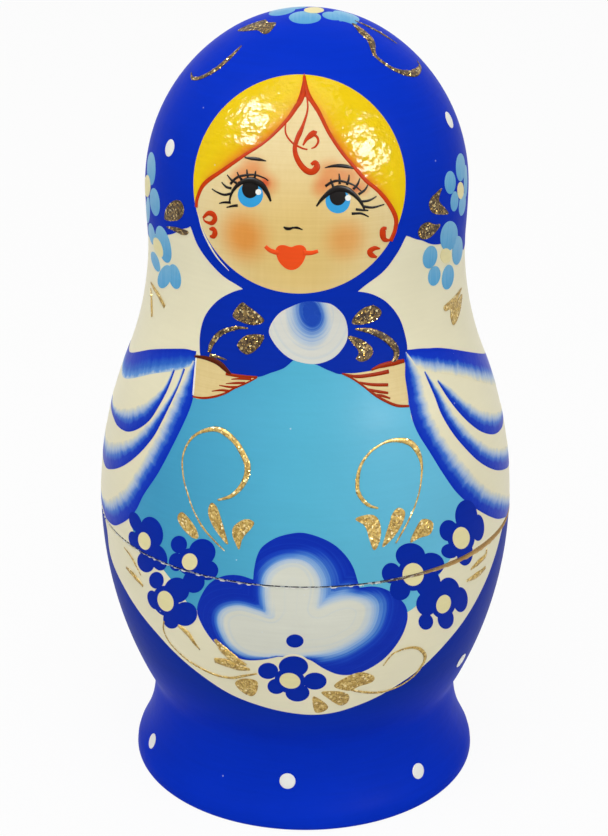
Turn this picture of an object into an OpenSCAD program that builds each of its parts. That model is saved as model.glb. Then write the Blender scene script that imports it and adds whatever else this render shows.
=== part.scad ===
// Matryoshka: a nest of seven turned wooden dolls.
// Six hollow dolls come apart at the belly. Each lower half ends in a spigot that fits the socket of
// its upper half. The seventh, smallest doll is solid. All are turned to one outline about the Z axis,
// each sized by the room inside the doll around it. The painted front faces -Y.

/* [Outline of the outer doll] */
// Height from the base to the crown
height = 160; // [120:1:220]
// Diameter of the foot at its widest
foot_d = 72.8; // [68:0.2:78]
// Radius of the rounded lower edge of the foot
foot_edge = 1; // [0.4:0.1:2]
// Height of the waist
waist_z_share = 0.1075; // [0.09:0.0025:0.125]
// Diameter of the belly
belly_d = 84.8; // [80:0.2:90]
// Height of the belly's widest ring
belly_z_share = 0.37; // [0.34:0.005:0.4]
// Diameter of the neck
neck_d = 62.6; // [58:0.2:62.8]
// Height of the neck
neck_z_share = 0.725; // [0.69:0.005:0.74]
// How much wider the head is than the neck, on the diameter
head_swell = 0.6; // [0.4:0.1:8]
// Height of the head's widest ring
head_z_share = 0.7875; // [0.765:0.0025:0.81]
// How much smaller the round crown's radius is than the head's radius or rise, whichever is less
crown_flat = 2.9; // [1.6:0.1:5]

/* [Turned curves] */
// Part of the foot's rise that bulges, before the cove
foot_bulge_share = 0.17; // [0.1:0.01:0.4]
// Part of the bowl's rise that is cove, before the bulge
bowl_cove_share = 0.053; // [0.03:0.001:0.2]
// Part of the shoulder's rise that bulges, before the cove
shoulder_bulge_share = 0.56; // [0.4:0.01:0.7]
// Part of the rise from neck to head that is cove, before the bulge
nape_cove_share = 0.2; // [0.15:0.01:0.8]

/* [Shells] */
// Wall of the outer doll
wall = 2.8; // [2.4:0.1:3.4]
// Wall of the smallest hollow doll
least_wall = 1.2; // [1:0.1:1.5]
// How far the floor inside the outer doll is above its waist
floor_rise = 2.3; // [1.3:0.1:5]
// How far the seam of the outer doll is below the belly's widest ring
seam_drop = 0.3; // [0:0.1:5]
// Depth of the small bevel on both edges of the seam
seam_bevel = 0.35; // [0.2:0.05:0.6]
// Room left round each nested doll
nest_gap = 0.7; // [0.5:0.1:1]
// Room under the foot of each nested doll
stand_gap = 0.01; // [0:0.01:0.1]

/* [Lock] */
// Height of the outer doll's spigot
spigot_h = 8; // [6:0.5:11]
// Wall of the outer doll's spigot
spigot_wall = 2.6; // [2:0.1:3.2]
// Thickness of the outer doll's socket lip
socket_lip = 2.2; // [1.8:0.1:2.6]
// Clearance of the spigot in its socket, on the radius
lock_gap = 0.1; // [0.05:0.01:0.2]
// Room above the spigot
spigot_top_gap = 0.5; // [0.3:0.1:1]
// Chamfer round the top of the spigot
spigot_chamfer = 0.6; // [0.3:0.1:1]

/* [Hidden] */

$fn = 180;
hollow_dolls = 6;
arc_steps = 12;
skirt_blue = "#0a2ad0";
scarf_blue = "#1436dc";
apron_blue = "#52b8da";

waist_z = waist_z_share * height;
belly_z = belly_z_share * height;
neck_z = neck_z_share * height;
head_z = head_z_share * height;
floor_z = waist_z + floor_rise;
seam_z = belly_z - seam_drop;

// The waist draws in by a share of the foot
waist_d_share = 23 / 26;
waist_d = waist_d_share * foot_d;
head_d = neck_d + head_swell;
foot_r = foot_d / 2;
waist_r = waist_d / 2;
belly_r = belly_d / 2;
neck_r = neck_d / 2;
head_r = head_d / 2;

// Points [radius, height] of an arc about a centre, without its first one
function arc(centre_r, centre_z, radius, from_angle, to_angle) = [
  for (step = [1:arc_steps])
    let (angle = from_angle + (to_angle - from_angle) * step / arc_steps)
      [centre_r + radius * cos(angle), centre_z + radius * sin(angle)]
];

// An S-curve that is upright at both ends is two tangent arcs. This is the sum of their radii.
function arcs_sum(low_r, low_z, high_r, high_z) =
  (pow(high_r - low_r, 2) + pow(high_z - low_z, 2)) / (2 * abs(high_r - low_r));

// A curve that narrows upwards: a bulge, then a cove
function narrowing(low_r, low_z, high_r, high_z, bulge_share) =
  let (
    sum_r = arcs_sum(low_r, low_z, high_r, high_z),
    bulge_r = bulge_share * sum_r,
    cove_r = sum_r - bulge_r,
    turn = asin((high_z - low_z) / sum_r)
  )
  concat(
    arc(low_r - bulge_r, low_z, bulge_r, 0, turn),
    arc(high_r + cove_r, high_z, cove_r, 180 + turn, 180)
  );

// A curve that widens upwards: a cove, then a bulge
function widening(low_r, low_z, high_r, high_z, cove_share) =
  let (
    sum_r = arcs_sum(low_r, low_z, high_r, high_z),
    cove_r = cove_share * sum_r,
    bulge_r = sum_r - cove_r,
    turn = asin((high_z - low_z) / sum_r)
  )
  concat(
    arc(low_r + cove_r, low_z, cove_r, 180, 180 - turn),
    arc(high_r - bulge_r, high_z, bulge_r, -turn, 0)
  );

// The head above its widest ring: a side arc that runs on into the crown's arc
crown_rise = height - head_z;
crown_r = min(head_r, crown_rise) - crown_flat;
side_arc_r = (pow(head_r, 2) + pow(crown_rise, 2) - 2 * crown_rise * crown_r) / (2 * (head_r - crown_r));
crown_turn = asin((crown_rise - crown_r) / (side_arc_r - crown_r));

// Outline of the outer doll, from the edge of its base up to the crown
outline = concat(
  [[foot_r - foot_edge, 0]],
  arc(foot_r - foot_edge, foot_edge, foot_edge, -90, 0),
  narrowing(foot_r, foot_edge, waist_r, waist_z, foot_bulge_share),
  widening(waist_r, waist_z, belly_r, belly_z, bowl_cove_share),
  narrowing(belly_r, belly_z, neck_r, neck_z, shoulder_bulge_share),
  widening(neck_r, neck_z, head_r, head_z, nape_cove_share),
  arc(head_r - side_arc_r, head_z, side_arc_r, 0, crown_turn),
  arc(0, height - crown_r, crown_r, crown_turn, 90)
);

// Arcs that meet at the belly: the bowl's below it and the shoulder's above it
bowl_arc_r = (1 - bowl_cove_share) * arcs_sum(waist_r, waist_z, belly_r, belly_z);
shoulder_arc_r = shoulder_bulge_share * arcs_sum(belly_r, belly_z, neck_r, neck_z);
function belly_side(z) =
  let (arc_r = z < belly_z ? bowl_arc_r : shoulder_arc_r)
    belly_r - arc_r + sqrt(pow(arc_r, 2) - pow(z - belly_z, 2));

// Walls thin out evenly from the outer doll to the smallest hollow one
function wall_of(doll) = wall + (least_wall - wall) * doll / (hollow_dolls - 1);
function thinning(doll) = wall_of(doll) / wall;

// Insides of a hollow doll, by its size beside the outer doll and its number in the nest
function spigot_r(size, doll) = size * belly_side(seam_z) - thinning(doll) * socket_lip;
function mouth_r(size, doll) = spigot_r(size, doll) - thinning(doll) * spigot_wall;
function bore_r(size, doll) = size * min(neck_r, head_r) - wall_of(doll);
function bowl_hollow_r(size, doll) = size * bowl_arc_r - wall_of(doll);
function shoulder_hollow_r(size, doll) = size * shoulder_arc_r - wall_of(doll);
function bowl_centre_r(size) = size * (belly_r - bowl_arc_r);
function shoulder_centre_r(size) = size * (belly_r - shoulder_arc_r);
function floor_angle(size, doll) = asin(size * (floor_z - belly_z) / bowl_hollow_r(size, doll));
function floor_r(size, doll) =
  bowl_centre_r(size) + bowl_hollow_r(size, doll) * cos(floor_angle(size, doll));

// The next doll in is as large as its foot, belly, head and height allow
function next_size(size, doll) = min(
  (floor_r(size, doll) - nest_gap) / foot_r,
  (mouth_r(size, doll) - nest_gap) / belly_r,
  (bore_r(size, doll) - nest_gap) / head_r,
  (size * (height - floor_z) - wall_of(doll) - nest_gap) / height
);
function size_of(doll) = doll == 0 ? 1 : next_size(size_of(doll - 1), doll - 1);
function stand_z(doll) =
  doll == 0 ? 0 : stand_z(doll - 1) + size_of(doll - 1) * floor_z + stand_gap;

// Part of a doll's outline between two heights of the outer doll
function outline_between(low_z, high_z, size) =
  [for (point = outline) if (point[1] > low_z && point[1] < high_z) size * point];

// Section of a lower half: foot and bowl, spigot, then the hollow down to its flat floor
function lower_section(size, doll) =
  let (
    bevel_z = seam_z - seam_bevel,
    rim_z = size * (seam_z + spigot_h),
    chamfer = thinning(doll) * spigot_chamfer,
    spigot = spigot_r(size, doll),
    mouth = mouth_r(size, doll),
    mouth_angle = -acos((mouth - bowl_centre_r(size)) / bowl_hollow_r(size, doll)),
    mouth_z = size * belly_z + bowl_hollow_r(size, doll) * sin(mouth_angle)
  )
  concat(
    [[0, 0], size * outline[0]],
    outline_between(0, bevel_z, size),
    [
      size * [belly_side(bevel_z), bevel_z],
      size * [belly_side(seam_z) - seam_bevel, seam_z],
      [spigot, size * seam_z],
      [spigot, rim_z - chamfer],
      [spigot - chamfer, rim_z],
      [mouth, rim_z],
      [mouth, mouth_z]
    ],
    arc(bowl_centre_r(size), size * belly_z, bowl_hollow_r(size, doll), mouth_angle, floor_angle(size, doll)),
    [[0, size * floor_z]]
  );

// Section of an upper half: shoulder and head, then the dome, the bore and the socket
function upper_section(size, doll) =
  let (
    bevel_z = seam_z + seam_bevel,
    bore = bore_r(size, doll),
    dome_z = size * height - wall_of(doll) - bore,
    socket = spigot_r(size, doll) + lock_gap,
    socket_z = size * (seam_z + spigot_h) + spigot_top_gap,
    hollow_r = shoulder_hollow_r(size, doll),
    bore_angle = acos((bore - shoulder_centre_r(size)) / hollow_r),
    socket_angle = asin((socket_z - size * belly_z) / hollow_r)
  )
  concat(
    [
      size * [belly_side(seam_z) - seam_bevel, seam_z],
      size * [belly_side(bevel_z), bevel_z]
    ],
    outline_between(bevel_z, height, size),
    [[0, size * height], [0, dome_z + bore]],
    arc(0, dome_z, bore, 90, 0),
    [[bore, size * belly_z + hollow_r * sin(bore_angle)]],
    arc(shoulder_centre_r(size), size * belly_z, hollow_r, bore_angle, socket_angle),
    [[socket, socket_z], [socket, size * seam_z]]
  );

// Lower half of one hollow doll, standing in its place in the nest
module lower_half(doll) {
  translate([0, 0, stand_z(doll)])
    rotate_extrude()
      polygon(lower_section(size_of(doll), doll));
}

// Upper half of one hollow doll, closed on its lower half
module upper_half(doll) {
  translate([0, 0, stand_z(doll)])
    rotate_extrude()
      polygon(upper_section(size_of(doll), doll));
}

// The solid doll at the heart of the nest
module solid_doll(doll) {
  translate([0, 0, stand_z(doll)])
    rotate_extrude()
      polygon(concat([[0, 0]], size_of(doll) * outline));
}

// The dolls, from the outer one inwards
module outer_bottom() { color(skirt_blue) lower_half(0); }
module outer_top() { color(scarf_blue) upper_half(0); }
module second_bottom() { color(skirt_blue) lower_half(1); }
module second_top() { color(scarf_blue) upper_half(1); }
module third_bottom() { color(skirt_blue) lower_half(2); }
module third_top() { color(scarf_blue) upper_half(2); }
module fourth_bottom() { color(skirt_blue) lower_half(3); }
module fourth_top() { color(scarf_blue) upper_half(3); }
module fifth_bottom() { color(skirt_blue) lower_half(4); }
module fifth_top() { color(scarf_blue) upper_half(4); }
module sixth_bottom() { color(skirt_blue) lower_half(5); }
module sixth_top() { color(scarf_blue) upper_half(5); }
module smallest_doll() { color(apron_blue) solid_doll(hollow_dolls); }

outer_bottom();
outer_top();
second_bottom();
second_top();
third_bottom();
third_top();
fourth_bottom();
fourth_top();
fifth_bottom();
fifth_top();
sixth_bottom();
sixth_top();
smallest_doll();
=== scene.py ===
# %% [markdown]
# # A painted nesting doll
# The real object is a nest of seven turned wooden dolls. Six of them come apart at the belly, and the
# smallest is solid. Each is turned on a lathe, painted by hand and then lacquered. This lesson builds
# them in that order: the wood is turned first, then each coat of paint is laid on it as a thin skin.
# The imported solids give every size, so nothing here has to be measured twice.

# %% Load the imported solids
import math
from collections import namedtuple

import bpy
import numpy as np
from mathutils import Matrix, Vector
from mathutils.geometry import delaunay_2d_cdt


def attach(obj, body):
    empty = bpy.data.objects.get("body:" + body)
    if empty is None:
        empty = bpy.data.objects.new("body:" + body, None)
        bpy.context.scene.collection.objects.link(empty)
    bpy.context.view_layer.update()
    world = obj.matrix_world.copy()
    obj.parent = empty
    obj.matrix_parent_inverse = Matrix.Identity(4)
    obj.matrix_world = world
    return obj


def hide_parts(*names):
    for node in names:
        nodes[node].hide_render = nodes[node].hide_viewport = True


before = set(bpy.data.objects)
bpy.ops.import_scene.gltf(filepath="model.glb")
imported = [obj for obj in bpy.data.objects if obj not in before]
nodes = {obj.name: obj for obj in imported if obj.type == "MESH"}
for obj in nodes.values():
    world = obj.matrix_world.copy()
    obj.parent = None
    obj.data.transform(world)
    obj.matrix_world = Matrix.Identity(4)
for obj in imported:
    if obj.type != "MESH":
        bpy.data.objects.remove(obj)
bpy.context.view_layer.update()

MM = 0.001
scene = bpy.context.scene

# %% [markdown]
# ## The camera
# The painting has to sit on the doll where it sits in the photograph, so the camera comes first. Its
# place, tilt and focal length were found by fitting the doll's outline to the one in the picture.
# The same numbers also turn a pixel of the picture into a ray, and later into a spot on the wood.

# %% Set the camera
PHOTO_W = 608
PHOTO_H = 836
EYE = np.array((-0.35, -384.0, 235.7))
TILT_DOWN = 0.3939
ROLL = 0.0045
FOCAL_PX = 2022
SENSOR_MM = 24

ahead = np.array((0, math.cos(TILT_DOWN), -math.sin(TILT_DOWN)))
level_up = np.array((0, math.sin(TILT_DOWN), math.cos(TILT_DOWN)))
level_right = np.array((1.0, 0.0, 0.0))
camera_right = math.cos(ROLL) * level_right + math.sin(ROLL) * level_up
camera_up = math.cos(ROLL) * level_up - math.sin(ROLL) * level_right

camera_data = bpy.data.cameras.new("Photo camera")
camera_data.sensor_fit = "VERTICAL"
camera_data.sensor_height = SENSOR_MM
camera_data.lens = FOCAL_PX * SENSOR_MM / PHOTO_H
camera_data.clip_start = 0.01
camera = bpy.data.objects.new("Photo camera", camera_data)
scene.collection.objects.link(camera)
turn = Matrix([camera_right, camera_up, -ahead]).transposed().to_4x4()
camera.matrix_world = Matrix.Translation(Vector(EYE * MM)) @ turn
scene.camera = camera
print("lens:", round(camera_data.lens, 1), "mm")

# %% [markdown]
# ## Floor and light
# A plain pale floor and soft light let the paint show its own colour. One broad lamp hangs over the doll,
# so that shapes which look up are lighter than the belly below. The floor and the world are white to
# the eye and to mirrors, and light the doll at a plain level. The floor keeps a little of the shadow.

# %% Lay the floor
FLOOR_SIZE = 6.0
FLOOR_COLOUR = (0.8, 0.8, 0.8, 1)
FLOOR_WHITE = 0.93
WHITE = (1, 1, 1, 1)


def wire(node, **values):
    """Gives a node its settings and feeds its sockets.

    A socket's name has _ for a space, or is i and a number. A socket takes a plain value, an output or a
    node, which stands for its first output.
    """
    for name, value in values.items():
        if hasattr(node, name):
            setattr(node, name, value)
            continue
        socket = node.inputs[int(name[1:]) if name[1:].isdigit() else name.replace("_", " ")]
        if isinstance(value, bpy.types.Node):
            value = value.outputs[0]
        if isinstance(value, bpy.types.NodeSocket):
            node.id_data.links.new(value, socket)
        else:
            socket.default_value = value
    return node


def add_node(tree, kind, **values):
    """Puts one node in a tree and wires it."""
    return wire(tree.nodes.new(kind), **values)


def white_to_eye(tree):
    """1 for rays from the camera, from mirrors and through glass."""
    rays = add_node(tree, "ShaderNodeLightPath").outputs
    seen = rays["Is Camera Ray"]
    for kind in ("Is Glossy Ray", "Is Transmission Ray"):
        seen = add_node(tree, "ShaderNodeMath", operation="MAXIMUM", i0=seen, i1=rays[kind])
    return seen


floor_mesh = bpy.data.meshes.new("studio_floor")
corner = FLOOR_SIZE / 2
floor_mesh.from_pydata(
    [(-corner, -corner, 0), (corner, -corner, 0), (corner, corner, 0), (-corner, corner, 0)],
    [],
    [(0, 1, 2, 3)],
)
floor_paint = bpy.data.materials.new("studio floor")
floor_paint.use_nodes = True
floor_tree = floor_paint.node_tree
floor_shader = wire(floor_tree.nodes["Principled BSDF"],
                    Base_Color=FLOOR_COLOUR, Roughness=0.9, Specular_IOR_Level=0.1)
part_white = add_node(floor_tree, "ShaderNodeMath", operation="MULTIPLY",
                      i0=white_to_eye(floor_tree), i1=FLOOR_WHITE)
paper = add_node(floor_tree, "ShaderNodeEmission", Strength=1)
floor_mix = add_node(floor_tree, "ShaderNodeMixShader", i0=part_white, i1=floor_shader, i2=paper)
wire(floor_tree.nodes["Material Output"], Surface=floor_mix)
floor_mesh.materials.append(floor_paint)
floor = bpy.data.objects.new("studio_floor", floor_mesh)
scene.collection.objects.link(floor)
print("floor:", FLOOR_SIZE, "m wide")

# %% Light the room
WORLD_LIGHT = 0.58

scene.view_settings.view_transform = "Standard"
world = bpy.data.worlds.new("studio")
scene.world = world
world.use_nodes = True
sky = world.node_tree
sky.nodes.clear()
lit = add_node(sky, "ShaderNodeBackground", Color=WHITE, Strength=WORLD_LIGHT)
seen = add_node(sky, "ShaderNodeBackground", Color=WHITE, Strength=1)
either = add_node(sky, "ShaderNodeMixShader", i0=white_to_eye(sky), i1=lit, i2=seen)
add_node(sky, "ShaderNodeOutputWorld", Surface=either)
print("light of the room:", WORLD_LIGHT)

# %% Hang the broad lamp
def hang_lamp(name, place, aim, size, power):
    """Hangs a square soft lamp at a place, turned to a point."""
    lamp = bpy.data.lights.new(name, "AREA")
    lamp.size = size
    lamp.energy = power
    stand = bpy.data.objects.new(name, lamp)
    stand.location = place
    stand.rotation_euler = (Vector(aim) - Vector(place)).to_track_quat("-Z", "Y").to_euler()
    scene.collection.objects.link(stand)
    return stand


HEAD_MIDDLE = (0, 0, 0.11)
BROAD_PLACE = (-0.05, -0.5, 1.05)
BROAD_SIZE = 0.8
BROAD_POWER = 6.4
hang_lamp("broad lamp", BROAD_PLACE, HEAD_MIDDLE, BROAD_SIZE, BROAD_POWER)

# %% [markdown]
# ## Reading the turned outline
# Every half is a solid of revolution, so its whole shape is one section beside the axis. The packed
# mesh is made of rings about that axis. Two rings that share a triangle are neighbours in the section,
# and walking from ring to ring gives the section back in order, from the outside to the hollow. Rings
# that lie on a straight stretch add nothing and are dropped.

# %% Read each section
SAME_RING = 2e-6
STRAIGHT = 0.003


def grouped(values):
    """Numbers the values so that those closer than SAME_RING share a number."""
    order = np.argsort(values)
    labels = np.empty(len(values), int)
    labels[order] = np.concatenate([[0], np.cumsum(np.diff(values[order]) > SAME_RING)])
    return labels


def mesh_arrays(mesh):
    """Corner places and triangles of a mesh."""
    mesh.calc_loop_triangles()
    places = np.empty(len(mesh.vertices) * 3)
    mesh.vertices.foreach_get("co", places)
    triangles = np.empty(len(mesh.loop_triangles) * 3, int)
    mesh.loop_triangles.foreach_get("vertices", triangles)
    return places.reshape(-1, 3), triangles.reshape(-1, 3)


def read_section(node, from_top):
    """Section of a turned node in mm, as (radius, height) points in order from its outside."""
    places, triangles = mesh_arrays(node.data)
    radius = np.hypot(places[:, 0], places[:, 1])
    keys = np.stack([grouped(radius), grouped(places[:, 2])], 1)
    _, first, ring = np.unique(keys, axis=0, return_index=True, return_inverse=True)
    ring = ring.ravel()
    points = np.stack([radius[first], places[first, 2]], 1) / MM
    near = {}
    for a, b in ((0, 1), (1, 2), (2, 0)):
        pairs = np.stack([ring[triangles[:, a]], ring[triangles[:, b]]], 1)
        for i, j in np.unique(pairs[pairs[:, 0] != pairs[:, 1]], axis=0):
            near.setdefault(int(i), set()).add(int(j))
            near.setdefault(int(j), set()).add(int(i))
    ends = [i for i in near if len(near[i]) == 1]
    ends.sort(key=lambda i: points[i, 1], reverse=from_top)
    walk = [ends[0]]
    while True:
        ahead_of = [i for i in near[walk[-1]] if i not in walk[-2:]]
        if not ahead_of:
            break
        walk.append(ahead_of[0])
    section = points[walk]
    section[section[:, 0] < 0.001, 0] = 0
    heading = np.unwrap(np.arctan2(*np.diff(section, axis=0).T))
    bends = np.abs(np.diff(heading)) > STRAIGHT
    return section[np.concatenate([[True], bends, [True]])]


DOLLS = ["outer", "second", "third", "fourth", "fifth", "sixth"]
HALVES = ["bottom", "top"]
sections = {}
for doll in DOLLS:
    for half in HALVES:
        name = f"{doll}_{half}"
        sections[name] = read_section(nodes[name], half == "top")
sections["smallest_doll"] = read_section(nodes["smallest_doll"], False)
print({name: len(points) for name, points in sections.items()})

# %% [markdown]
# ## One smooth outline
# The solids hold each arc as a few straight steps. Lacquer shows every step as a band, so a cubic
# spline is drawn through the ring points of both outer halves, from the foot up to the crown. Its length
# along the wood, `s`, is the painter's second coordinate. The first is the angle round the doll.

# %% Draw the spline
STEP = 0.05


def spline(knots, values, at):
    """Natural cubic spline through values at knots."""
    gap = np.diff(knots)
    slope = np.diff(values, axis=0) / gap[:, None]
    matrix = np.eye(len(knots))
    right = np.zeros_like(values)
    for i in range(1, len(knots) - 1):
        matrix[i, i - 1:i + 2] = gap[i - 1], 2 * (gap[i - 1] + gap[i]), gap[i]
        right[i] = 6 * (slope[i] - slope[i - 1])
    bend = np.linalg.solve(matrix, right)
    i = np.clip(np.searchsorted(knots, at) - 1, 0, len(gap) - 1)
    t = (at - knots[i])[:, None]
    h = gap[i][:, None]
    lead = slope[i] - h * (2 * bend[i] + bend[i + 1]) / 6
    return values[i] + t * lead + t ** 2 * bend[i] / 2 + t ** 3 * (bend[i + 1] - bend[i]) / (6 * h)


def along(points):
    """Length along a line of points, from its first one."""
    return np.concatenate([[0], np.cumsum(np.hypot(*np.diff(points, axis=0).T))])


def outside_of(name):
    """The painted part of a half's section, up to the seam's edge."""
    section = sections[name]
    return section[:np.argmax(section[:, 0]) + 1]


FOOT_EDGE_POINTS = 13
low = outside_of("outer_bottom")
high = outside_of("outer_top")[::-1]
foot_edge = low[:FOOT_EDGE_POINTS]
mirrored_crown = high[-4:-1][::-1] * (-1, 1)
knots = np.concatenate([low[FOOT_EDGE_POINTS - 1:], high, mirrored_crown])
measure = along(knots)
crown_s = measure[-1 - len(mirrored_crown)]
line_s = np.arange(0, crown_s, STEP)
line_s = np.append(line_s, crown_s)
line = spline(measure, knots, line_s)
line[-1, 0] = 0
run = np.gradient(line, line_s, axis=0)
run /= np.hypot(*run.T)[:, None]
line_normal = np.stack([run[:, 1], -run[:, 0]], 1)
line_normal[-1] = 0, 1

SEAM_LOW_S = np.interp(low[-1, 1], line[:, 1], line_s)
SEAM_HIGH_S = np.interp(high[0, 1], line[:, 1], line_s)
SEAM_S = (SEAM_LOW_S + SEAM_HIGH_S) / 2
BARE_EDGE = 0.13
PAINT_LOW_S = SEAM_S - BARE_EDGE
PAINT_HIGH_S = SEAM_S + BARE_EDGE


def line_at(s):
    """Radius, height and outward direction of the wood at lengths s, with the seam's two bevels."""
    radius, height, out_r, out_z = [np.interp(s, line_s, column) for column in (*line.T, *line_normal.T)]
    into_seam = np.clip(SEAM_S - SEAM_LOW_S - np.abs(s - SEAM_S), 0, None)
    return radius - into_seam, height, out_r, out_z


print("from foot to crown:", round(crown_s, 1), "mm; seam at", round(SEAM_LOW_S, 2), round(SEAM_HIGH_S, 2))
# %% [markdown]
# ## Finishes
# Paint on such a doll is thin tempera under clear lacquer. It is even from far off. Close up it has faint
# brush marks, a slow ripple in the gloss and a few specks of dust caught in the lacquer. All colours
# share that, so it is one node group, and each colour is a small material around it. The shader itself
# stays in the material.

# %% Make helpers for shaders
COLOUR = "NodeSocketColor"
NUMBER = "NodeSocketFloat"
FINISH = [("Color", COLOUR), ("Roughness", NUMBER), ("Normal", "NodeSocketVector")]


def linear(code):
    """Colour for a shader from a hex code as seen on screen."""
    parts = [int(code[i:i + 2], 16) / 255 for i in (1, 3, 5)]
    return tuple(c / 12.92 if c <= 0.04045 else ((c + 0.055) / 1.055) ** 2.4 for c in parts) + (1.0,)


def group_tree(name, inputs, outputs):
    """Shader group with named sockets. Returns its tree and the sockets of its inlet."""
    tree = bpy.data.node_groups.new(name, "ShaderNodeTree")
    for label, kind, value in inputs:
        tree.interface.new_socket(label, in_out="INPUT", socket_type=kind).default_value = value
    for label, kind in outputs:
        tree.interface.new_socket(label, in_out="OUTPUT", socket_type=kind)
    return tree, add_node(tree, "NodeGroupInput").outputs


def place_in(tree):
    """Places on the piece itself."""
    return add_node(tree, "ShaderNodeTexCoord").outputs["Object"]


def tree_of(*values):
    """The tree that holds the first socket or node among some values."""
    kinds = (bpy.types.Node, bpy.types.NodeSocket)
    return next(value.id_data for value in values if isinstance(value, kinds))


def sum_of(operation, *sides, clamp=False):
    """One math node. Each side is a socket, a node or a number."""
    numbered = {f"i{number}": side for number, side in enumerate(sides)}
    return add_node(tree_of(*sides), "ShaderNodeMath", operation=operation, use_clamp=clamp, **numbered)


def share_of(value, start, end, ease="LINEAR"):
    """How far a value has come from start to end, between 0 and 1."""
    return add_node(tree_of(value), "ShaderNodeMapRange", interpolation_type=ease,
                    Value=value, From_Min=start, From_Max=end)


def bump_of(height, strength, distance):
    """Small relief."""
    return add_node(tree_of(height), "ShaderNodeBump", Strength=strength, Distance=distance, Height=height)


def blend_of(amount, first, second, mode="MIX"):
    """One colour mix. Each side is a socket, a node or a colour."""
    return add_node(tree_of(amount, first), "ShaderNodeMix", data_type="RGBA", blend_type=mode,
                    i0=amount, i6=first, i7=second).outputs[2]


def noise_of(vector, stretch, octaves):
    """Noise on a vector that is stretched along each axis first."""
    mapping = add_node(tree_of(vector), "ShaderNodeMapping", Vector=vector, Scale=stretch)
    noise = add_node(mapping.id_data, "ShaderNodeTexNoise", Vector=mapping, Scale=1, Detail=octaves)
    return noise.outputs["Fac"]


def ramp_of(value, stops):
    """Colour ramp fed by a value."""
    node = add_node(tree_of(value), "ShaderNodeValToRGB", Fac=value)
    bar = node.color_ramp
    while len(bar.elements) < len(stops):
        bar.elements.new(0.5)
    for element, (position, code) in zip(bar.elements, stops):
        element.position = position
        element.color = linear(code)
    return node.outputs["Color"]


print("middle grey in a shader:", round(linear("#808080")[0], 3))

# %% Mix the lacquer
lacquer, given = group_tree(
    "Lacquered paint",
    [("Color", COLOUR, WHITE), ("Dust", NUMBER, 0.5), ("Ripple", NUMBER, 0.3), ("Gloss", NUMBER, 0.25),
     ("Marks", NUMBER, 0.08)],
    FINISH,
)
place = place_in(lacquer)
clouds = noise_of(place, (55, 55, 55), 3)
bristles = noise_of(place, (90, 90, 1500), 1)
shade = sum_of("MULTIPLY_ADD", clouds, 0.16, 0.92)
streaked = sum_of("MULTIPLY_ADD", sum_of("SUBTRACT", bristles, 0.5), given["Marks"], 1.0)
tinted = blend_of(1.0, given["Color"], sum_of("MULTIPLY", shade, streaked), "MULTIPLY")
cells = add_node(lacquer, "ShaderNodeTexVoronoi", Vector=place, Scale=175)
speck = sum_of("LESS_THAN", cells.outputs["Distance"], 0.03)
chosen = sum_of("GREATER_THAN", cells.outputs["Color"], 0.5)
dust = sum_of("MULTIPLY", sum_of("MULTIPLY", speck, chosen), given["Dust"])
ripples = noise_of(place, (260, 260, 330), 2)
orange_peel = noise_of(place, (1300, 1300, 1500), 1)
height = sum_of("MULTIPLY_ADD", orange_peel, 0.16, ripples)
speckled = sum_of("ADD", height, sum_of("MULTIPLY", dust, 0.4))
add_node(lacquer, "NodeGroupOutput", Color=blend_of(dust, tinted, linear("#dfeaf2")),
         Roughness=sum_of("MULTIPLY_ADD", clouds, 0.12, given["Gloss"]),
         Normal=bump_of(speckled, given["Ripple"], 0.0004))
print("lacquer nodes:", len(lacquer.nodes))

# %% [markdown]
# ## Turned wood
# Bare wood on the lathe shows long grain, fine rings from the tool and short fibres. A picture of wood
# could be wrapped round, but it would repeat. Three noises, each stretched its own way, never do.

# %% Mix the wood
turned_wood, given = group_tree(
    "Turned wood",
    [("Light", COLOUR, linear("#ecdcb4")), ("Dark", COLOUR, linear("#d3b57c")), ("Cut", NUMBER, 0.5)],
    FINISH,
)
place = place_in(turned_wood)
grain = noise_of(place, (160, 160, 26), 4)
tool_marks = noise_of(place, (12, 12, 2600), 2)
fibres = noise_of(place, (1500, 1500, 110), 2)
coarse = sum_of("MULTIPLY_ADD", tool_marks, 0.35, sum_of("MULTIPLY", grain, 0.4))
mixed = sum_of("MULTIPLY_ADD", fibres, 0.2, coarse, clamp=True)
spread = share_of(mixed, 0.3, 0.66)
add_node(turned_wood, "NodeGroupOutput",
         Color=blend_of(spread, given["Light"], given["Dark"]),
         Roughness=sum_of("MULTIPLY_ADD", fibres, 0.2, 0.5),
         Normal=bump_of(mixed, given["Cut"], 0.0003))
print("wood nodes:", len(turned_wood.nodes))

# %% [markdown]
# ## The loaded brush
# A flat brush that holds two colours leaves streaks where its bristles run. The paint map says how far a
# spot is from the blue edge of the stroke. Noise along the stroke moves that a little to and fro.

# %% Load the brush
brush, given = group_tree(
    "Loaded brush", [("Streaks", NUMBER, 0.3), ("Bristles", NUMBER, 9.0)], [("Fade", NUMBER)])
stroke_map = add_node(brush, "ShaderNodeUVMap", uv_map="Paint")
here = add_node(brush, "ShaderNodeSeparateXYZ", i0=stroke_map).outputs
joined = add_node(brush, "ShaderNodeCombineXYZ", X=sum_of("MULTIPLY", here["X"], given["Bristles"]),
                  Y=sum_of("MULTIPLY", here["Y"], 1.3))
centred = sum_of("SUBTRACT", noise_of(joined, (1, 1, 1), 3), 0.5)
moved = sum_of("MULTIPLY_ADD", centred, given["Streaks"], here["Y"], clamp=True)
add_node(brush, "NodeGroupOutput", Fade=moved)
print("groups:", [g.name for g in bpy.data.node_groups])
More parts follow.
